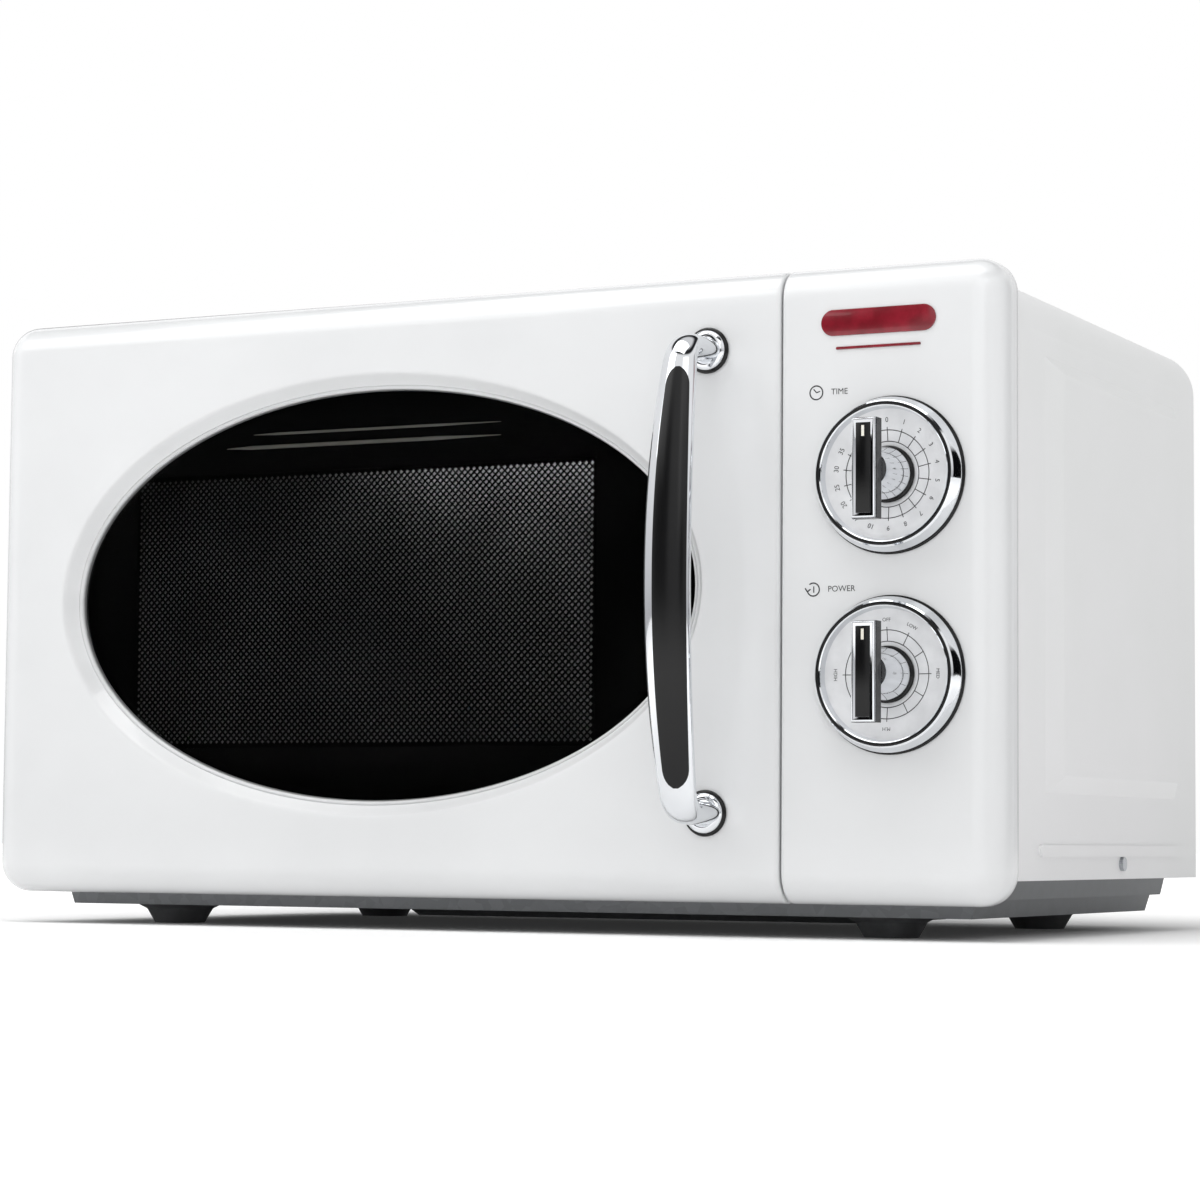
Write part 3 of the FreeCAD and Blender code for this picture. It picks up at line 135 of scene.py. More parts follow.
flags = ramp(sky, bearing, [
    (0.0, "#FFFFFF"), (0.03, "#FFFFFF"), (0.045, "#060607"), (0.125, "#060607"), (0.14, "#FFFFFF"),
    (0.36, "#FFFFFF"), (0.375, "#18181A"), (0.4, "#18181A"), (0.415, "#FFFFFF"), (0.6, "#FFFFFF"),
    (0.62, "#0C0C0E"), (0.7, "#0C0C0E"), (0.72, "#FFFFFF"), (0.86, "#FFFFFF"), (0.88, "#202022"),
    (0.92, "#202022"), (0.94, "#FFFFFF")])
flag_height = ramp(sky, rise, [(0.36, "#000000"), (0.4, "#FFFFFF"), (0.7, "#FFFFFF"), (0.76, "#000000")])
hung = add(sky, "ShaderNodeMix", {0: flag_height, 6: walls}, data_type="RGBA", blend_type="MULTIPLY")
sky.links.new(flags, hung.inputs[7])
room = add(sky, "ShaderNodeBackground", {0: hung.outputs[2], 1: 1.0})
FRONT_AND_ABOVE = (0, -0.6, 0.8)
DIMMEST, BRIGHTEST = 0.12, 0.78
facing = add(sky, "ShaderNodeVectorMath", {0: towards, 1: FRONT_AND_ABOVE}, operation="DOT_PRODUCT")
share = add(sky, "ShaderNodeMapRange", {
    0: facing.outputs["Value"], 1: -1.0, 2: 1.0, 3: DIMMEST, 4: BRIGHTEST})
fill = add(sky, "ShaderNodeBackground", {0: tint("#FFFFFF"), 1: share.outputs[0]})
paper = add(sky, "ShaderNodeBackground", {0: tint("#FFFFFF"), 1: 1.0})
rays = add(sky, "ShaderNodeLightPath")
lit = add(sky, "ShaderNodeMixShader", {
    0: rays.outputs["Is Glossy Ray"], 1: fill.outputs[0], 2: room.outputs[0]})
both = add(sky, "ShaderNodeMixShader", {
    0: rays.outputs["Is Camera Ray"], 1: lit.outputs[0], 2: paper.outputs[0]})
add(sky, "ShaderNodeOutputWorld", {0: both.outputs[0]})
print("world nodes", len(sky.nodes))

# %% [markdown]
# Three large soft boxes light the oven: one high on the left, one on the right and one overhead, a little
# in front, so that slopes that face up are the brightest. Their size keeps shadows faint, as the white cove
# would. A weak lamp under the cavity's roof stands for the oven's own bulb, and shows up the screen's holes.


# %% Lights and the piece helper
def soft_box(name, place, target, width, height, power):
    """A rectangular area light that faces a target."""
    light = bpy.data.lights.new(name, "AREA")
    light.shape = "RECTANGLE"
    light.size = width
    light.size_y = height
    light.energy = power
    lamp = bpy.data.objects.new(name, light)
    bpy.context.scene.collection.objects.link(lamp)
    aim = (Vector(target) - Vector(place)).to_track_quat("-Z", "Y")
    lamp.matrix_world = Matrix.LocRotScale(Vector(place), aim, None)
    print(name, power, "W")


middle = (0, 0, 0.13)
soft_box("left_box", (-1.1, -1.3, 1.25), middle, 1.0, 1.0, 5)
soft_box("right_box", (1.0, -1.6, 1.0), middle, 1.0, 1.0, 3)
soft_box("top_box", (-0.2, -0.6, 1.8), middle, 1.8, 1.2, 15)
soft_box("oven_lamp", (-0.04, 0.03, 0.215), (-0.04, 0.03, 0), 0.16, 0.12, 1.1)


def new_piece(name, bm, body, material, smooth_angle=35):
    """Turns a bmesh into a finished piece on a CAD body: outward faces, smooth shading with crisp edges."""
    bmesh.ops.remove_doubles(bm, verts=bm.verts, dist=NEAR)
    bmesh.ops.recalc_face_normals(bm, faces=bm.faces)
    mesh = bpy.data.meshes.new(name)
    bm.to_mesh(mesh)
    bm.free()
    piece = bpy.data.objects.new(name, mesh)
    bpy.context.scene.collection.objects.link(piece)
    mesh.materials.append(material)
    mesh.shade_smooth()
    mesh.set_sharp_from_angle(angle=math.radians(smooth_angle))
    if body:
        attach(piece, body)
    print(name, len(mesh.polygons), "faces")
    return piece


# %% [markdown]
# Every finish starts from one layered shader. The helper sets the constants on the shader's own sockets
# and hands back the tree, so that each cell only adds the texture that its surface really has.


# %% Finish helper
finishes = {}


def finish(name, colour, metallic, roughness, **sockets):
    """A material named for a real finish; further sockets are given by name, with _ for a space."""
    material = bpy.data.materials.new(name)
    material.use_nodes = True
    tree = material.node_tree
    shader = tree.nodes["Principled BSDF"]
    shader.inputs["Base Color"].default_value = tint(colour)
    shader.inputs["Metallic"].default_value = metallic
    shader.inputs["Roughness"].default_value = roughness
    for socket, value in sockets.items():
        shader.inputs[socket.replace("_", " ")].default_value = value
    finishes[name] = material
    return material, tree, shader


def place_of(tree, scale=(1, 1, 1)):
    """Object coordinates, scaled for a pattern."""
    coordinates = add(tree, "ShaderNodeTexCoord").outputs["Object"]
    return add(tree, "ShaderNodeMapping", {0: coordinates, "Scale": scale}).outputs[0]


def grain(tree, shader, size_mm, height_mm, strength, detail=2.0, soft_edge_mm=0):
    """Fine bumps of a real size and height, from noise, over edges that may be rounded off in the light."""
    noise = add(tree, "ShaderNodeTexNoise", {
        "Vector": place_of(tree), "Scale": 1000 / size_mm, "Detail": detail})
    bump = add(tree, "ShaderNodeBump", {
        "Height": noise.outputs[0], "Strength": strength, "Distance": height_mm * MM})
    if soft_edge_mm:
        rounded = add(tree, "ShaderNodeBevel", {"Radius": soft_edge_mm * MM}, samples=6)
        tree.links.new(rounded.outputs[0], bump.inputs["Normal"])
    tree.links.new(bump.outputs[0], shader.inputs["Normal"])


def shift(tree, shader, source, low, high, socket="Base Color"):
    """Lets a texture move one socket between two hex colours or two numbers."""
    if isinstance(low, str):
        tree.links.new(ramp(tree, source, [(0.35, low), (0.65, high)]), shader.inputs[socket])
        return
    spread = add(tree, "ShaderNodeMapRange", {0: source, 1: 0.3, 2: 0.7, 3: low, 4: high})
    tree.links.new(spread.outputs[0], shader.inputs[socket])


def cloud(tree, size_mm, stretch=(1, 1, 1)):
    """Soft cloudy noise of a real size."""
    return add(tree, "ShaderNodeTexNoise", {
        "Vector": place_of(tree, stretch), "Scale": 1000 / size_mm, "Detail": 3.0}).outputs[0]


# %% [markdown]
# The door and control panel are moulded ABS with a sprayed white gloss lacquer. Spray leaves a very
# shallow orange peel, about 2 mm from crest to crest, that softens reflections, and polish leaves the
# gloss slightly uneven. It also fills the moulding's edges, which are rounded by 3 mm in the light. The
# cover is powder coated steel: the same white, with a finer, duller peel.

# %% White finishes
material, tree, shader = finish("gloss_lacquered_abs", "#DEDFE0", 0, 0.2, IOR=1.5, Coat_Weight=0.6,
                                Coat_Roughness=0.05)
grain(tree, shader, 2.2, 0.02, 0.35, soft_edge_mm=3)
shift(tree, shader, cloud(tree, 60), 0.17, 0.24, "Roughness")
shift(tree, shader, cloud(tree, 90), "#DCDDDE", "#E1E2E3")

material, tree, shader = finish("powder_coated_steel", "#E6E7E7", 0, 0.42, IOR=1.5)
grain(tree, shader, 1.1, 0.05, 0.5)
shift(tree, shader, cloud(tree, 120), 0.38, 0.48, "Roughness")
shift(tree, shader, cloud(tree, 150), "#E4E5E5", "#E9E9EA")
print("finishes", sorted(finishes))

# %% [markdown]
# The window is float glass with a smoke tint in its body: it mirrors the room like any glass and lets a
# few percent of light through. The screen behind it is black porcelain enamel on perforated steel, glassy
# with tiny pores. The inner film is thin polyester, and slightly milky, which is why the holes look grey.

# %% Window finishes
material, tree, shader = finish("smoked_glass", "#7D7D7E", 0, 0.03, IOR=1.52, Transmission_Weight=1.0)
shift(tree, shader, cloud(tree, 45), 0.02, 0.05, "Roughness")

material, tree, shader = finish("black_enamelled_steel", "#0B0B0C", 0, 0.28, IOR=1.5)
grain(tree, shader, 3, 0.01, 0.15)
shift(tree, shader, cloud(tree, 30), "#080808", "#0F0F10")

material, tree, shader = finish("polyester_film", "#B4B6B8", 0, 0.35, IOR=1.57, Transmission_Weight=0.8)
shift(tree, shader, cloud(tree, 25), "#A6A6A7", "#C4C4C5")

# %% [markdown]
# The handle, the dial rings and the knobs are ABS plated with copper, nickel and bright chromium. Chromium
# is a slightly blue mirror. Handling leaves faint smears that only show as changes of gloss.

# %% Metal finishes
material, tree, shader = finish("bright_chrome_plate", "#E3E5E8", 1, 0.05)
shift(tree, shader, cloud(tree, 18), 0.035, 0.08, "Roughness")
shift(tree, shader, cloud(tree, 40), "#DDDFE2", "#E9EBEE")

material, tree, shader = finish("spun_silver_print", "#E0E1E3", 0.15, 0.4)
grain(tree, shader, 0.5, 0.02, 0.3)
shift(tree, shader, cloud(tree, 8), "#DBDCDE", "#E6E7E9")

material, tree, shader = finish("zinc_plated_screw_steel", "#B9BCC0", 1, 0.3)
shift(tree, shader, cloud(tree, 3), 0.22, 0.42, "Roughness")
shift(tree, shader, cloud(tree, 6), "#A9ACB1", "#C6C9CC")
grain(tree, shader, 0.6, 0.02, 0.4, detail=4)

material, tree, shader = finish("hot_dip_galvanised_steel", "#737577", 0.8, 0.45)
spangle = add(tree, "ShaderNodeTexVoronoi", {"Vector": place_of(tree), "Scale": 1000 / 5})
shift(tree, shader, spangle.outputs["Color"], "#707274", "#7A7C7E")
shift(tree, shader, spangle.outputs["Color"], 0.42, 0.5, "Roughness")
grain(tree, shader, 1.5, 0.02, 0.3)

material, tree, shader = finish("laminated_core_iron", "#6B6763", 1, 0.5)
sheets = add(tree, "ShaderNodeTexWave", {"Vector": place_of(tree), "Scale": 1000 / 3, "Distortion": 0.3},
             bands_direction="Y")
shift(tree, shader, sheets.outputs[0], "#4C4946", "#7D7975")
bump = add(tree, "ShaderNodeBump", {"Height": sheets.outputs[0], "Distance": 0.1 * MM, "Strength": 0.6})
tree.links.new(bump.outputs[0], shader.inputs["Normal"])

material, tree, shader = finish("enamelled_copper_wire", "#8E3F1E", 0.85, 0.32)
turns = add(tree, "ShaderNodeTexWave", {"Vector": place_of(tree), "Scale": 1000 / 3.2, "Distortion": 0.6},
            bands_direction="Z")
shift(tree, shader, turns.outputs[0], "#6A2C14", "#B0582C")
bump = add(tree, "ShaderNodeBump", {"Height": turns.outputs[0], "Distance": 0.3 * MM, "Strength": 0.8})
tree.links.new(bump.outputs[0], shader.inputs["Normal"])

material, tree, shader = finish("bare_copper_fins", "#B8755A", 1, 0.34)
shift(tree, shader, cloud(tree, 12), "#A66548", "#C98A6C")
grain(tree, shader, 0.9, 0.02, 0.4)
print("finishes", len(finishes))

# %% [markdown]
# Inside, the cavity is sprayed with a grey speckled enamel that wipes clean. Moulded pieces are ABS or
# nylon with a spark-eroded grain of about 0.4 mm, the feet are soft grey rubber, and the plate is clear
# pressed glass. The port cover is mica: pressed flakes of pale brown mineral.

# %% Enamel, plastic, rubber and mineral finishes
material, tree, shader = finish("speckled_grey_enamel", "#A5A7A8", 0, 0.3, IOR=1.5)
speck = add(tree, "ShaderNodeTexVoronoi", {"Vector": place_of(tree), "Scale": 1000 / 2.5})
shift(tree, shader, speck.outputs["Distance"], "#8F9192", "#A8AAAB")
grain(tree, shader, 1.2, 0.03, 0.4)

material, tree, shader = finish("black_grained_abs", "#0B0B0C", 0, 0.22, IOR=1.53, Specular_IOR_Level=0.3)
grain(tree, shader, 0.45, 0.01, 0.3, detail=4)
shift(tree, shader, cloud(tree, 30), "#080809", "#0F0F10")

material, tree, shader = finish("natural_nylon", "#E4DFD0", 0, 0.42, IOR=1.53, Subsurface_Weight=0.1)
grain(tree, shader, 0.5, 0.02, 0.5, detail=4)
shift(tree, shader, cloud(tree, 25), "#DDD7C6", "#EAE6DA")

material, tree, shader = finish("grey_rubber", "#4A4B4D", 0, 0.68, IOR=1.52)
grain(tree, shader, 0.6, 0.04, 0.6, detail=4)
shift(tree, shader, cloud(tree, 10), "#414244", "#545557")

material, tree, shader = finish("pressed_mica_sheet", "#C9B48C", 0.1, 0.45, IOR=1.58)
flakes = add(tree, "ShaderNodeTexVoronoi", {"Vector": place_of(tree), "Scale": 1000 / 5})
shift(tree, shader, flakes.outputs["Color"], "#B59E74", "#D9C8A4")
grain(tree, shader, 2.5, 0.05, 0.4)

material, tree, shader = finish("pressed_clear_glass", "#EEF3F1", 0, 0.05, IOR=1.52,
                                Transmission_Weight=1.0)
grain(tree, shader, 9, 0.04, 0.25)

material, tree, shader = finish("resin_bonded_board", "#B08A4A", 0, 0.48, IOR=1.55)
shift(tree, shader, cloud(tree, 2.5, (1, 6, 1)), "#9C7638", "#BE9A5C")
grain(tree, shader, 0.7, 0.02, 0.5)
print("finishes", len(finishes))

# %% [markdown]
# The record names a material slot for each node, and each slot takes one of the finishes above. Giving a
# node its finish only fills its material slots: its mesh and place stay as the frame has them.

# %% Finishes on the frame's nodes
slot_finish = {
    "white_lacquer": "gloss_lacquered_abs", "white_coat": "powder_coated_steel",
    "smoked_glass": "smoked_glass", "black_enamel": "black_enamelled_steel",
    "clear_film": "polyester_film", "black_moulding": "black_grained_abs", "grey_rubber": "grey_rubber",
    "chrome": "bright_chrome_plate", "silver_print": "spun_silver_print",
    "galvanised": "hot_dip_galvanised_steel", "grey_enamel": "speckled_grey_enamel",
    "natural_plastic": "natural_nylon", "steel": "zinc_plated_screw_steel", "mica": "pressed_mica_sheet",
    "tray_glass": "pressed_clear_glass", "core_iron": "laminated_core_iron",
    "copper_wire": "enamelled_copper_wire", "copper_fins": "bare_copper_fins", "board": "resin_bonded_board",
}
for name, node in nodes.items():
    for index, present in enumerate(node.data.materials):
        node.data.materials[index] = finishes[slot_finish[present.name.split(".")[0]]]
print("nodes with a finish", len(nodes))

# %% [markdown]
# The steel screen behind the window keeps microwaves in: its holes are far smaller than the 122 mm wave.
# It could be a hole texture, but real holes let the milky film behind catch light, and the glass shift
# over them. A grid turned by 45 degrees has each of its squares inset, and the inner faces removed, which
# gives diamond holes in staggered rows. Solidify then gives the sheet its 0.8 mm.

# %% Perforated screen
screen_low, screen_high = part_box("door_inner_panel")
SHEET_WALL = 0.8 * MM
HOLE_PITCH = 2.8 * MM
HOLE_FIELD = (-162.5 * MM, 53.2 * MM, 73.4 * MM, 187.1 * MM)
sheet_y = screen_high.y - SHEET_WALL


def cut_to(bm, point, normal):
    """Cuts everything on one side of a plane away."""
    bmesh.ops.bisect_plane(
        bm, geom=bm.verts[:] + bm.edges[:] + bm.faces[:], plane_co=point, plane_no=normal, clear_outer=True)


def only(items, kind):
    """The members of one kind, such as the vertices among what an operator returns."""
    return [item for item in items if isinstance(item, kind)]


def push_edges(bm, edges, move):
    """Extrudes edges by a vector, and returns the new vertices and edges."""
    moved = bmesh.ops.extrude_edge_only(bm, edges=edges)["geom"]
    verts = only(moved, bmesh.types.BMVert)
    bmesh.ops.translate(bm, verts=verts, vec=move)
    return verts, only(moved, bmesh.types.BMEdge)


field_left, field_right, field_bottom, field_top = HOLE_FIELD
field_centre = Vector(((field_left + field_right) / 2, sheet_y, (field_bottom + field_top) / 2))
cell = HOLE_PITCH / math.sqrt(2)
half_side = (field_right - field_left + field_top - field_bottom) / math.sqrt(8)
bm = bmesh.new()
count = round(2 * half_side / cell)
bmesh.ops.create_grid(bm, x_segments=count, y_segments=count, size=half_side)
UPRIGHT = Matrix.Rotation(math.pi / 2, 4, "X")
lay = Matrix.Translation(field_centre) @ UPRIGHT @ Matrix.Rotation(math.pi / 4, 4, "Z")
bmesh.ops.transform(bm, matrix=lay, verts=bm.verts)
cut_to(bm, (field_right, 0, 0), (1, 0, 0))
cut_to(bm, (field_left, 0, 0), (-1, 0, 0))
cut_to(bm, (0, 0, field_top), (0, 0, 1))
cut_to(bm, (0, 0, field_bottom), (0, 0, -1))
full = [face for face in bm.faces if face.calc_area() > 0.99 * cell * cell]
bmesh.ops.inset_individual(bm, faces=full, thickness=0.2 * cell)
bmesh.ops.delete(bm, geom=full, context="FACES")

edge = bmesh.ops.create_grid(bm, x_segments=3, y_segments=3, size=0.5)["verts"]
lines_x = (screen_low.x, field_left, field_right, screen_high.x)
lines_z = (screen_low.z, field_bottom, field_top, screen_high.z)
for vert in edge:
    column, row = round((vert.co.x + 0.5) * 3), round((vert.co.y + 0.5) * 3)
    vert.co = (lines_x[column], sheet_y, lines_z[row])
border = set(face for vert in edge for face in vert.link_faces)
middle_face = [face for face in border if (face.calc_center_median() - field_centre).length < 0.1 * MM]
bmesh.ops.delete(bm, geom=middle_face, context="FACES")
rim = [line for line in bm.edges if line.is_boundary and all(
    min(abs(vert.co.x - screen_low.x), abs(vert.co.x - screen_high.x),
        abs(vert.co.z - screen_low.z), abs(vert.co.z - screen_high.z)) < NEAR for vert in line.verts)]
push_edges(bm, rim, (0, screen_low.y - sheet_y, 0))
screen = new_piece("perforated_screen", bm, "door", finishes["black_enamelled_steel"])
solid = screen.modifiers.new("sheet_wall", "SOLIDIFY")
solid.thickness = SHEET_WALL
solid.offset = 0
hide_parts("door_inner_panel")

# %% [markdown]
# Where the oval slope meets the glass, the moulding ends in a small rounded lip, and it catches a thin
# bright line all round. Its section is walked from the slope to the glass: an ellipse of edges is extruded,
# scaled and moved for each point of the section, and the last loop is bridged back to the first.

# %% Window lip
WINDOW_HALF = (142 * MM, 83 * MM)
LIP_SECTION = ((1.9, 2.5), (1.35, 2.85), (0.75, 2.6), (0.25, 1.8), (0.0, 0.8), (-0.3, 0.05))
glass_low, glass_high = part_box("window_glass")
WINDOW_CENTRE = -43 * MM
window = Vector((WINDOW_CENTRE, glass_low.y, (glass_low.z + glass_high.z) / 2))
bm = bmesh.new()
bmesh.ops.create_circle(bm, segments=160, radius=1)
out, forward = LIP_SECTION[0]
lay = Matrix.Translation(window - Vector((0, forward * MM, 0))) @ UPRIGHT
oval = Matrix.Diagonal((WINDOW_HALF[0] + out * MM, WINDOW_HALF[1] + out * MM, 1, 1))
bmesh.ops.transform(bm, matrix=lay @ oval, verts=bm.verts)
first = loop = bm.edges[:]
for next_out, next_forward in LIP_SECTION[1:]:
    verts, loop = push_edges(bm, loop, (0, (forward - next_forward) * MM, 0))
    share = [(half + next_out * MM) / (half + out * MM) for half in WINDOW_HALF]
    bmesh.ops.scale(bm, vec=(share[0], 1, share[1]), space=Matrix.Translation(-window), verts=verts)
    out, forward = next_out, next_forward
bmesh.ops.bridge_loops(bm, edges=first + loop)
new_piece("window_lip", bm, "door", finishes["gloss_lacquered_abs"], 60)

# %% [markdown]
# Two thin pale nylon strips lie behind the glass at the top of the screen as a painted highlight: they stand
# in for two light lines that reflections draw there. Each is a small circle, extruded along its length and
# drawn out at its ends.

# %% Painted highlight strips
bm = bmesh.new()
highlight_y = (glass_high.y + screen_low.y) / 2
# each row: start, end, height and radius in mm of one painted highlight line
HIGHLIGHT_ROWS = ((-104, 12, 202.6, 0.55), (-117, 12, 197.3, 0.8))
HIGHLIGHT_TIP = 0.1
LEFT_TAPER, RIGHT_TAPER = 12, 28
for start, end, height, radius in HIGHLIGHT_ROWS:
    ring = bmesh.ops.create_circle(bm, cap_ends=True, segments=12, radius=HIGHLIGHT_TIP * MM)["verts"]
    lay = Matrix.Translation((start * MM, highlight_y, height * MM)) @ Matrix.Rotation(math.pi / 2, 4, "Y")
    bmesh.ops.transform(bm, matrix=lay, verts=ring)
    edges = list({edge for vert in ring for edge in vert.link_edges})
    centre = Vector((start * MM, highlight_y, height * MM))
    for step, scale in (
            (LEFT_TAPER, radius / HIGHLIGHT_TIP), (end - start - LEFT_TAPER - RIGHT_TAPER, 1),
            (RIGHT_TAPER, HIGHLIGHT_TIP / radius)):
        ring, edges = push_edges(bm, edges, (step * MM, 0, 0))
        bmesh.ops.scale(bm, vec=(1, scale, scale), space=Matrix.Translation(-centre), verts=ring)
bmesh.ops.holes_fill(bm, edges=[edge for edge in bm.edges if edge.is_boundary])
new_piece("highlight_strips", bm, "door", finishes["natural_nylon"])

# %% [markdown]
# The handle is a bowed flat bar whose ends curl back into the door. It could be a curve with a bevel
# profile, but a chain of spins keeps the exact radii: an oval section runs straight out of the door, spins
# round the lower elbow, along the wide bow, round the upper elbow and back. The bar narrows to its ends.

# %% Handle bar
HANDLE_HALF_WIDTH = 9.5 * MM
HANDLE_HALF_WALL = 4.5 * MM
ELBOW = 10 * MM
handle_low, handle_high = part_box("handle")
handle_x = (handle_low.x + handle_high.x) / 2
door_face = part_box("door_outer_frame")[0].y
upper_post = 224 * MM
lower_post = 47 * MM
handle_z = (upper_post + lower_post) / 2
BOW_SAG = 12 * MM
half_span = (upper_post - lower_post) / 2
bow_radius = (half_span ** 2 + BOW_SAG ** 2) / (2 * BOW_SAG) - HANDLE_HALF_WALL
bow_y = handle_low.y + HANDLE_HALF_WALL + bow_radius
bow_angle = math.asin((half_span - ELBOW) / (bow_radius - ELBOW))
elbow_y = bow_y - (bow_radius - ELBOW) * math.cos(bow_angle)
elbow_z = half_span - ELBOW
UPPER_TAPER, LOWER_TAPER, TAPER_POWER = 0.34, 0.25, 2.2


def bar_share(z):
    """How wide the bar is at a height, as a share of its middle."""
    reach = (z - handle_z) / half_span
    return 1 - (UPPER_TAPER if reach > 0 else LOWER_TAPER) * min(abs(reach), 1) ** TAPER_POWER


bm = bmesh.new()
section = bmesh.ops.create_circle(bm, segments=40, radius=1, cap_ends=True)["verts"]
bmesh.ops.scale(bm, vec=(HANDLE_HALF_WIDTH, HANDLE_HALF_WALL, 1), verts=section)
stand = Matrix.Translation((handle_x, door_face, lower_post)) @ UPRIGHT
bmesh.ops.transform(bm, matrix=stand, verts=section)
_, loop = push_edges(bm, bm.edges[:], (0, elbow_y - door_face, 0))
quarter = math.pi / 2 - bow_angle
for centre, angle, steps in (
        ((handle_x, elbow_y, handle_z - elbow_z), -quarter, 14),
        ((handle_x, bow_y, handle_z), -2 * bow_angle, 70),
        ((handle_x, elbow_y, handle_z + elbow_z), -quarter, 14)):
    spun = bmesh.ops.spin(
        bm, geom=loop, cent=centre, axis=(1, 0, 0), angle=angle, steps=steps, use_merge=False)
    loop = only(spun["geom_last"], bmesh.types.BMEdge)
for vert in push_edges(bm, loop, (0, 0, 0))[0]:
    vert.co.y = door_face
bmesh.ops.holes_fill(bm, edges=[edge for edge in bm.edges if edge.is_boundary])
for vert in bm.verts:
    vert.co.x = handle_x + (vert.co.x - handle_x) * bar_share(vert.co.z)
handle = new_piece("handle_bar", bm, "door", finishes["bright_chrome_plate"])
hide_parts("handle")
print("handle", [round(value, 4) for value in handle.dimensions])

# %% [markdown]
# A black grip strip lies in the front of the bar, boat shaped and round at its ends. It sits a little
# towards the free edge, where the fingers close. A grid is laid over the bow, a little proud of the
# chrome, and the solidify operator gives it the depth of a moulding.

# %% Handle grip strip
STRIP_MARGIN = 2.9 * MM
STRIP_SHIFT = 2.2 * MM
STRIP_END = 7 * MM
STRIP_PROUD = 0.25 * MM
STRIP_DEPTH = 1.2 * MM
strip_low, strip_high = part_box("handle_insert")
bm = bmesh.new()
bmesh.ops.create_grid(bm, x_segments=14, y_segments=120, size=1)
strip_half = (strip_high.z - strip_low.z) / 2
strip_z = (strip_high.z + strip_low.z) / 2
for vert in bm.verts:
    z = strip_z + strip_half * vert.co.y
    from_end = min(strip_half * (1 - abs(vert.co.y)) / STRIP_END, 1)
    share = bar_share(z)
    half = (HANDLE_HALF_WIDTH * share - STRIP_MARGIN) * math.sqrt(max(1 - (1 - from_end) ** 2, 0.04))
    across = half * vert.co.x + STRIP_SHIFT * share
    radius = bow_radius + STRIP_PROUD + HANDLE_HALF_WALL * math.sqrt(
        1 - (across / (HANDLE_HALF_WIDTH * share)) ** 2)
    rise = z - handle_z
    vert.co = (handle_x + across, bow_y - math.sqrt(radius ** 2 - rise ** 2), z)
bmesh.ops.solidify(bm, geom=bm.faces[:], thickness=STRIP_DEPTH)
strip = new_piece("handle_grip_strip", bm, "door", finishes["black_grained_abs"], 50)
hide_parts("handle_insert")

# %% [markdown]
# The scales are pad printed in dark ink on the dished silver dials. Ink is only a few micrometres thick.
# Here it stands 0.06 mm proud so that it renders cleanly, as thin rings, ticks and numerals that follow
# the dish. Numerals start as text, and are made a mesh before they are placed.

# %% Printing helpers
material, tree, shader = finish("pad_printed_ink", "#232325", 0, 0.5, IOR=1.5)
shift(tree, shader, cloud(tree, 1.5), "#1D1D1F", "#313134")
INK = 0.06 * MM
dials = {name: (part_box(f"{name}_bezel")[0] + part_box(f"{name}_bezel")[1]) / 2 for name in ("time", "power")}
dial_plate_low, dial_plate_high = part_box("time_dial_plate")
dial_rim = (dial_plate_high.x - dial_plate_low.x) / 2
DIAL_HUB = 10.6 * MM
DISH_RISE = 2 * MM


def write(bm, words, size, turn=0.0, place=(0, 0)):
    """Adds words to a flat drawing, centred on a place."""
    text = bpy.data.curves.new("words", "FONT")
    text.body = words
    text.size = size
    text.align_x = "CENTER"
    text.align_y = "CENTER"
    text.resolution_u = 3
    holder = bpy.data.objects.new("words", text)
    flat = bpy.data.meshes.new_from_object(holder)
    flat.transform(Matrix.Translation((*place, 0)) @ Matrix.Rotation(turn, 4, "Z"))
    bm.from_mesh(flat)
    bpy.data.objects.remove(holder)
    bpy.data.curves.remove(text)
    bpy.data.meshes.remove(flat)


def draw_ring(bm, inner, outer, start=0.0, angle=math.tau, steps=96):
    """Adds a flat ring, or a part of one, spun from a short line."""
    ends = [bm.verts.new((radius * math.cos(start), radius * math.sin(start), 0))
            for radius in (inner, outer)]
    line = bm.edges.new(ends)
    bmesh.ops.spin(
        bm, geom=[*ends, line], cent=(0, 0, 0), axis=(0, 0, 1), angle=angle, steps=steps,
        use_merge=angle >= math.tau)


def draw_line(bm, start, end, width, steps=3):
    """Adds a flat straight stroke."""
    start, end = Vector((*start, 0)), Vector((*end, 0))
    side = (end - start).normalized().cross(Vector((0, 0, 1))) * width / 2
    line = bm.edges.new([bm.verts.new(start - side), bm.verts.new(start + side)])
    for step in range(steps):
        _, (line,) = push_edges(bm, [line], (end - start) / steps)


def onto_dish(bm, centre):
    """Stands a flat drawing up on a dial, following its dish."""
    for vert in bm.verts:
        flat = vert.co.copy()
        reach = (flat.length - DIAL_HUB) / (dial_rim - DIAL_HUB)
        depth = dial_plate_low.y + DISH_RISE * (1 - reach) - INK
        vert.co = (centre.x + flat.x, depth, centre.z + flat.y)


def printed(name, bm):
    """Turns a drawing to face the front and puts it on the cabinet."""
    bmesh.ops.recalc_face_normals(bm, faces=bm.faces)
    if sum(face.normal.y for face in bm.faces) > 0:
        bmesh.ops.reverse_faces(bm, faces=bm.faces)
    mesh = bpy.data.meshes.new(name)
    bm.to_mesh(mesh)
    bm.free()
    piece = bpy.data.objects.new(name, mesh)
    bpy.context.scene.collection.objects.link(piece)
    mesh.materials.append(finishes["pad_printed_ink"])
    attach(piece, "cabinet")
    print(name, len(mesh.polygons), "faces")


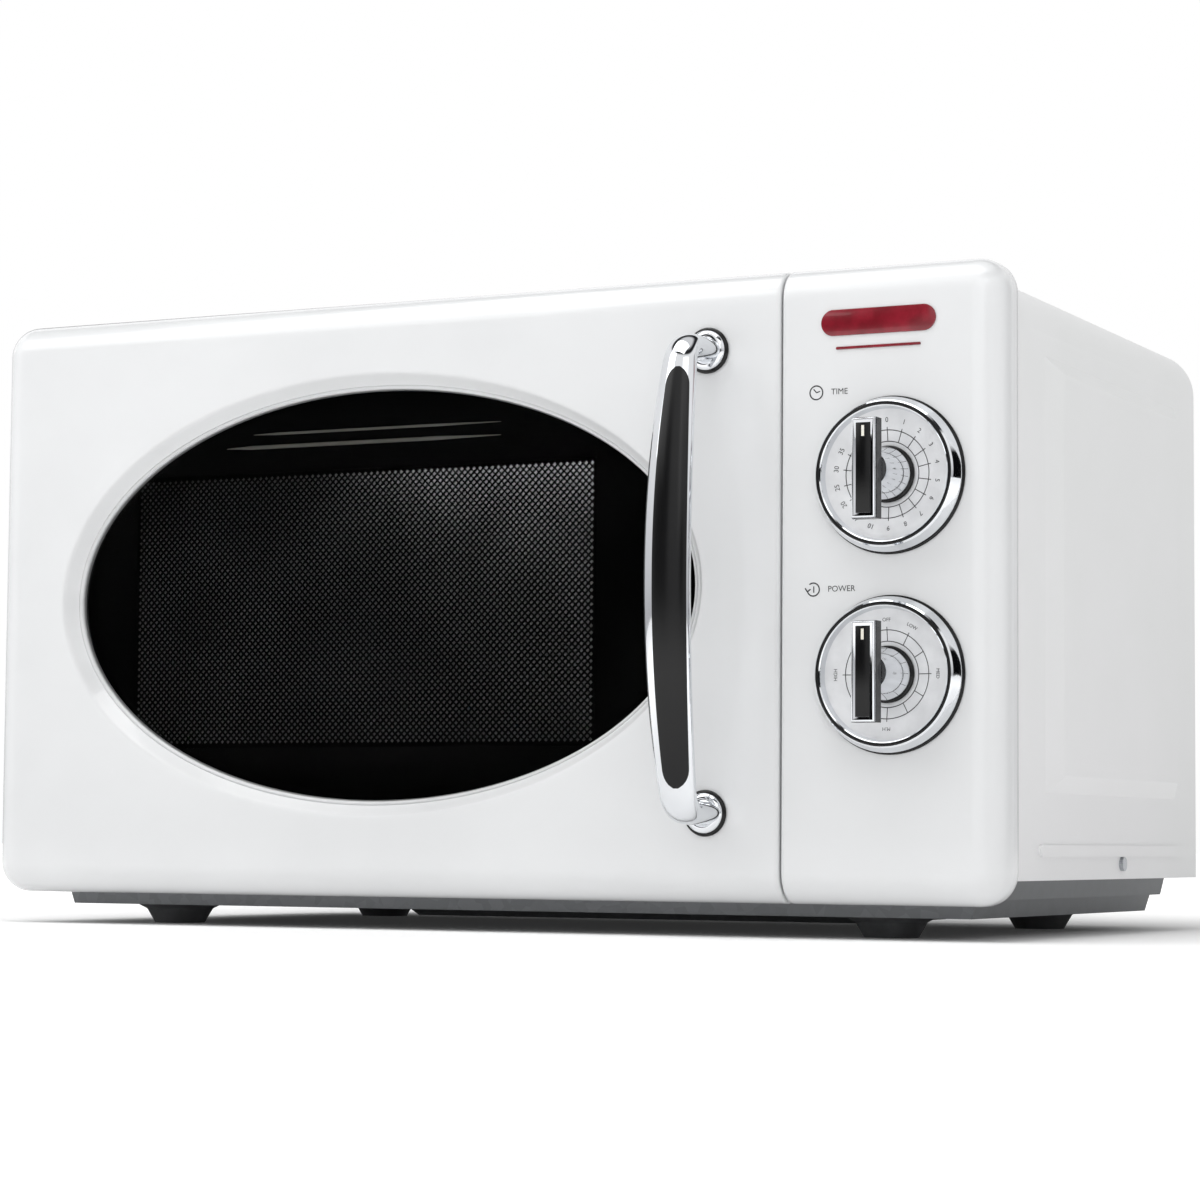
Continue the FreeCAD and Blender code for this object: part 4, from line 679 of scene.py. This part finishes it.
# %% Printed dial scales
SCALE_RINGS = (12.3 * MM, 16.5 * MM)
NUMBER_RADIUS = 20.2 * MM
LINE_HALF = 0.16 * MM
TICK_WIDTH = 0.3 * MM
TICK_PAST = 1.1 * MM
scales = {
    "time": ([str(number) for number in range(11)] + ["15", "20", "25", "30", "35"], 19.8, 2.6 * MM),
    "power": (["OFF", "LOW", "", "MED", "", "", "M.H", "", "", "HIGH"], 30.0, 1.9 * MM),
}
for name, (marks, step, size) in scales.items():
    bm = bmesh.new()
    for radius in SCALE_RINGS:
        draw_ring(bm, radius - LINE_HALF, radius + LINE_HALF)
    for index, mark in enumerate(marks):
        angle = math.pi / 2 - math.radians(step * index)
        spoke = Vector((math.cos(angle), math.sin(angle)))
        outer = SCALE_RINGS[1] + (TICK_PAST if mark else 0)
        draw_line(bm, spoke * SCALE_RINGS[0], spoke * outer, TICK_WIDTH)
        if mark:
            write(bm, mark, size, angle - math.pi / 2, spoke * NUMBER_RADIUS)
    onto_dish(bm, dials[name])
    printed(f"{name}_scale", bm)

# %% [markdown]
# Each chrome ring has a black line on its crown. A thin black ring at its foot is painted shade, for the dark
# gap where it meets the panel, and a dark ring round each hub is painted shade as well. All are turned rings:
# a small closed section spun once round the dial's axis.


# %% Ring lines and painted shade rings
def turned_ring(bm, centre, radius, half_width, low, high):
    """Spins a small rounded section round a centre; low and high are distances in front of it."""
    section = bmesh.ops.create_circle(bm, segments=12, radius=1)["verts"]
    bmesh.ops.scale(bm, vec=(half_width, (high - low) / 2, 1), verts=section)
    bmesh.ops.translate(bm, vec=(centre.x + radius, centre.y - (low + high) / 2, centre.z), verts=section)
    edges = list({line for vert in section for line in vert.link_edges})
    bmesh.ops.spin(
        bm, geom=section + edges, cent=centre, axis=(0, 1, 0), angle=math.tau, steps=128, use_merge=True)


panel_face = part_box("control_panel")[0].y
bezel_low, bezel_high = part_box("time_bezel")
bezel_radius = (bezel_high.x - bezel_low.x) / 2
bezel_rise = panel_face - bezel_low.y
# each row: name, radius, half width, low, high; the foot and hub rows are painted shade, dark rings at the
# chrome ring's foot and round the hub
ring_rows = (
    ("crown_line", bezel_radius - 2.8 * MM, 0.65 * MM, bezel_rise - 0.5 * MM, bezel_rise + 0.3 * MM),
    ("foot_shade_ring", bezel_radius + 0.1 * MM, 0.6 * MM, 0, 0.9 * MM),
    ("hub_shade_ring", 9.9 * MM, 0.8 * MM, 2.2 * MM, 4 * MM))
for name, centre in dials.items():
    foot = Vector((centre.x, panel_face, centre.z))
    for row, radius, half_width, low, high in ring_rows:
        bm = bmesh.new()
        turned_ring(bm, foot, radius, half_width, low, high)
        new_piece(f"{name}_{row}", bm, "cabinet", finishes["black_grained_abs"])

# %% [markdown]
# The handle's posts stand on the door through chrome rosettes. Round the foot of each is a thin black ring,
# painted shade where the post meets the door. They are the same kind of turned ring.

# %% Handle rosettes and painted shade rings
# the second row is a black ring that paints shade round the foot of each post
post_rows = (
    ("rosette", "chrome", "bright_chrome_plate", 5.6 * MM, 2.2 * MM, -0.6 * MM, 3.4 * MM),
    ("post_shade_ring", "black_moulding", "black_grained_abs", 7.6 * MM, 1.3 * MM, -0.4 * MM, 1.6 * MM))
for name, height in (("upper", upper_post), ("lower", lower_post)):
    foot = Vector((handle_x, door_face, height))
    for row, slot, coat, radius, half_width, low, high in post_rows:
        bm = bmesh.new()
        turned_ring(bm, foot, radius, half_width, low, high)
        new_piece(f"{name}_{row}", bm, "door", finishes[coat])

# %% [markdown]
# Each knob is a bar grip. Its front is a chrome frame round a black inlay, and a small pale mark at the top of
# the inlay is the pointer. Its flanks are black as painted shade: the sides of the bar face away from the
# light and show dark. The frame is a flat rectangle with its middle taken out by an inset, pushed forward and
# rounded over, so that it catches light along both sides.

# %% Knob trim
GRIP_RIM = 1.9 * MM
GRIP_RISE = 0.9 * MM
CREST_ROUND = 0.8 * MM
SEAT = 0.3 * MM
FLOOR_RISE = 0.5 * MM
INLAY_WALL = 0.5 * MM
INLAY_LAP = 0.1 * MM
INLAY_ROUND = 0.2 * MM
FLANK_DEPTH = 4.9 * MM
FLANK_DROP = 0.7 * MM
FLANK_PROUD = 0.3 * MM
POINTER_RISE = 0.7 * MM
POINTER_WALL = 0.2 * MM


def slab(bm, centre, width, height, y, push):
    """A rectangle facing the front, pushed forward; returns its front face."""
    verts = bmesh.ops.create_grid(bm, x_segments=1, y_segments=1, size=0.5)["verts"]
    lay = Matrix.Translation((centre.x, y, centre.z)) @ UPRIGHT
    bmesh.ops.transform(bm, matrix=lay @ Matrix.Diagonal((width, height, 1, 1)), verts=verts)
    pushed = bmesh.ops.extrude_face_region(bm, geom=verts[0].link_faces[:])["geom"]
    bmesh.ops.translate(bm, verts=only(pushed, bmesh.types.BMVert), vec=(0, -push, 0))
    return only(pushed, bmesh.types.BMFace)[0]


for name in dials:
    grip_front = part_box(f"{name}_knob")[0].y
    inlay_low, inlay_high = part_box(f"{name}_knob_insert")
    grip = (inlay_low + inlay_high) / 2
    width = inlay_high.x - inlay_low.x + 2 * GRIP_RIM
    height = inlay_high.z - inlay_low.z + 2 * GRIP_RIM
    bm = bmesh.new()
    front = slab(bm, grip, width, height, grip_front + SEAT, GRIP_RISE + SEAT)
    bmesh.ops.inset_individual(bm, faces=[front], thickness=GRIP_RIM)
    bmesh.ops.translate(bm, verts=front.verts[:], vec=(0, GRIP_RISE - FLOOR_RISE, 0))
    crest = [edge for edge in bm.edges if all(
        abs(vert.co.y - (grip_front - GRIP_RISE)) < NEAR for vert in edge.verts)]
    bmesh.ops.bevel(
        bm, geom=crest, offset=CREST_ROUND, segments=4, affect="EDGES", profile=0.5, material=-1)
    new_piece(f"{name}_knob_rim", bm, f"{name}_knob", finishes["bright_chrome_plate"], 60)
    bm = bmesh.new()
    inside = 2 * (GRIP_RIM - INLAY_LAP)
    face = slab(bm, grip, width - inside, height - inside, grip_front - SEAT, INLAY_WALL)
    bmesh.ops.bevel(
        bm, geom=face.edges[:], offset=INLAY_ROUND, segments=2, affect="EDGES", profile=0.5, material=-1)
    new_piece(f"{name}_knob_inlay", bm, f"{name}_knob", finishes["black_grained_abs"])
    bm = bmesh.new()
    # the black sleeve on the grip's sides is painted shade
    slab(bm, grip, width + FLANK_PROUD, height + FLANK_PROUD, grip_front + FLANK_DEPTH + FLANK_DROP,
         FLANK_DEPTH)
    new_piece(f"{name}_knob_side_shade", bm, f"{name}_knob", finishes["black_grained_abs"])
    bm = bmesh.new()
    mark = Vector((grip.x, 0, inlay_high.z - 3 * MM))
    slab(bm, mark, 1.1 * MM, 4 * MM, grip_front - POINTER_RISE, POINTER_WALL)
    new_piece(f"{name}_pointer", bm, f"{name}_knob", finishes["natural_nylon"])

# %% [markdown]
# Over each dial the panel carries a small sign and a word: a clock face for time, and a turning arrow for
# power. They are printed flat on the lacquer.


# %% Printed signs
SIGN_SIZE = 3.2 * MM


def onto_panel(bm, centre):
    """Stands a flat drawing up on the control panel."""
    lay = Matrix.Translation((centre[0], panel_face - INK, centre[1])) @ UPRIGHT
    bmesh.ops.transform(bm, matrix=lay, verts=bm.verts)


bm = bmesh.new()
draw_ring(bm, 2.35 * MM, 2.85 * MM, steps=48)
draw_line(bm, (0, 0.1 * MM), (-1.1 * MM, 1.4 * MM), 0.42 * MM)
draw_line(bm, (0, 0), (1.5 * MM, 0.5 * MM), 0.42 * MM)
write(bm, "TIME", SIGN_SIZE, place=(9.4 * MM, 0))
onto_panel(bm, (152 * MM, 205.4 * MM))
printed("time_sign", bm)

bm = bmesh.new()
draw_ring(bm, 2.2 * MM, 2.7 * MM, start=math.radians(-160), angle=math.radians(290), steps=40)
draw_line(bm, (-2.4 * MM, -0.8 * MM), (-3.3 * MM, 0.6 * MM), 0.5 * MM)
draw_line(bm, (-2.4 * MM, -0.8 * MM), (-1.1 * MM, 0.2 * MM), 0.5 * MM)
draw_line(bm, (0.2 * MM, -1.2 * MM), (0.2 * MM, 1.2 * MM), 0.45 * MM)
write(bm, "POWER", SIGN_SIZE, place=(11.4 * MM, 0))
onto_panel(bm, (151 * MM, 131 * MM))
printed("power_sign", bm)

# %% [markdown]
# The name plate is a plain one: a dark red enamelled capsule with a thin rule under it, and no lettering.
# It is a disc pulled out to a capsule, given thickness and a rounded front edge.

# %% Plain red plate
material, tree, shader = finish("dark_red_enamel", "#7A1020", 0, 0.22, IOR=1.5, Coat_Weight=0.5)
shift(tree, shader, cloud(tree, 6), "#6E0D1B", "#861526")
grain(tree, shader, 1.2, 0.01, 0.3)
PLATE_WALL = 0.6 * MM
PLATE_ROUND = 0.25 * MM


def capsule(bm, centre, width, height):
    """A flat capsule outline, pushed out of the panel and rounded over."""
    disc = bmesh.ops.create_circle(bm, cap_ends=True, segments=48, radius=height / 2)["verts"]
    for vert in disc:
        vert.co.x += math.copysign((width - height) / 2, vert.co.x + 1e-9)
    lay = Matrix.Translation((centre[0], panel_face, centre[1])) @ UPRIGHT
    bmesh.ops.transform(bm, matrix=lay, verts=disc)
    crown = bmesh.ops.extrude_face_region(bm, geom=disc[0].link_faces[:])["geom"]
    front = only(crown, bmesh.types.BMFace)[0]
    bmesh.ops.translate(bm, verts=front.verts[:], vec=(0, -PLATE_WALL, 0))
    bmesh.ops.bevel(
        bm, geom=front.edges[:], offset=PLATE_ROUND, segments=3, affect="EDGES", profile=0.5, material=-1)


bm = bmesh.new()
capsule(bm, (177 * MM, 231.5 * MM), 46 * MM, 10 * MM)
capsule(bm, (177 * MM, 221.8 * MM), 34 * MM, 1.1 * MM)
new_piece("plain_red_plate", bm, "cabinet", finishes["dark_red_enamel"])

# %% [markdown]
# The table is a wide sheet of pale matt paper that runs far behind the oven, so its end never shows. Away from
# the oven it is given a painted glow that rises with distance, so that it meets the white background while the
# shade under the oven stays dark.

# %% Table
material, tree, shader = finish("matt_white_paper", "#F7F7F7", 0, 0.9, Specular_IOR_Level=0)
shader.inputs["Emission Color"].default_value = tint("#FFFFFF")
reach = add(tree, "ShaderNodeVectorMath", {0: place_of(tree)}, operation="LENGTH")
# painted light: the glow is weakest near the oven and strongest far from it
GLOW_FROM, GLOW_TO = 0.2, 0.8
NEAR_GLOW, FAR_GLOW = 0.02, 0.5
painted_glow = add(tree, "ShaderNodeMapRange", {
    0: reach.outputs["Value"], 1: GLOW_FROM, 2: GLOW_TO, 3: NEAR_GLOW, 4: FAR_GLOW})
tree.links.new(painted_glow.outputs[0], shader.inputs["Emission Strength"])
bm = bmesh.new()
bmesh.ops.create_grid(bm, x_segments=1, y_segments=1, size=12)
table = new_piece("table", bm, None, finishes["matt_white_paper"])
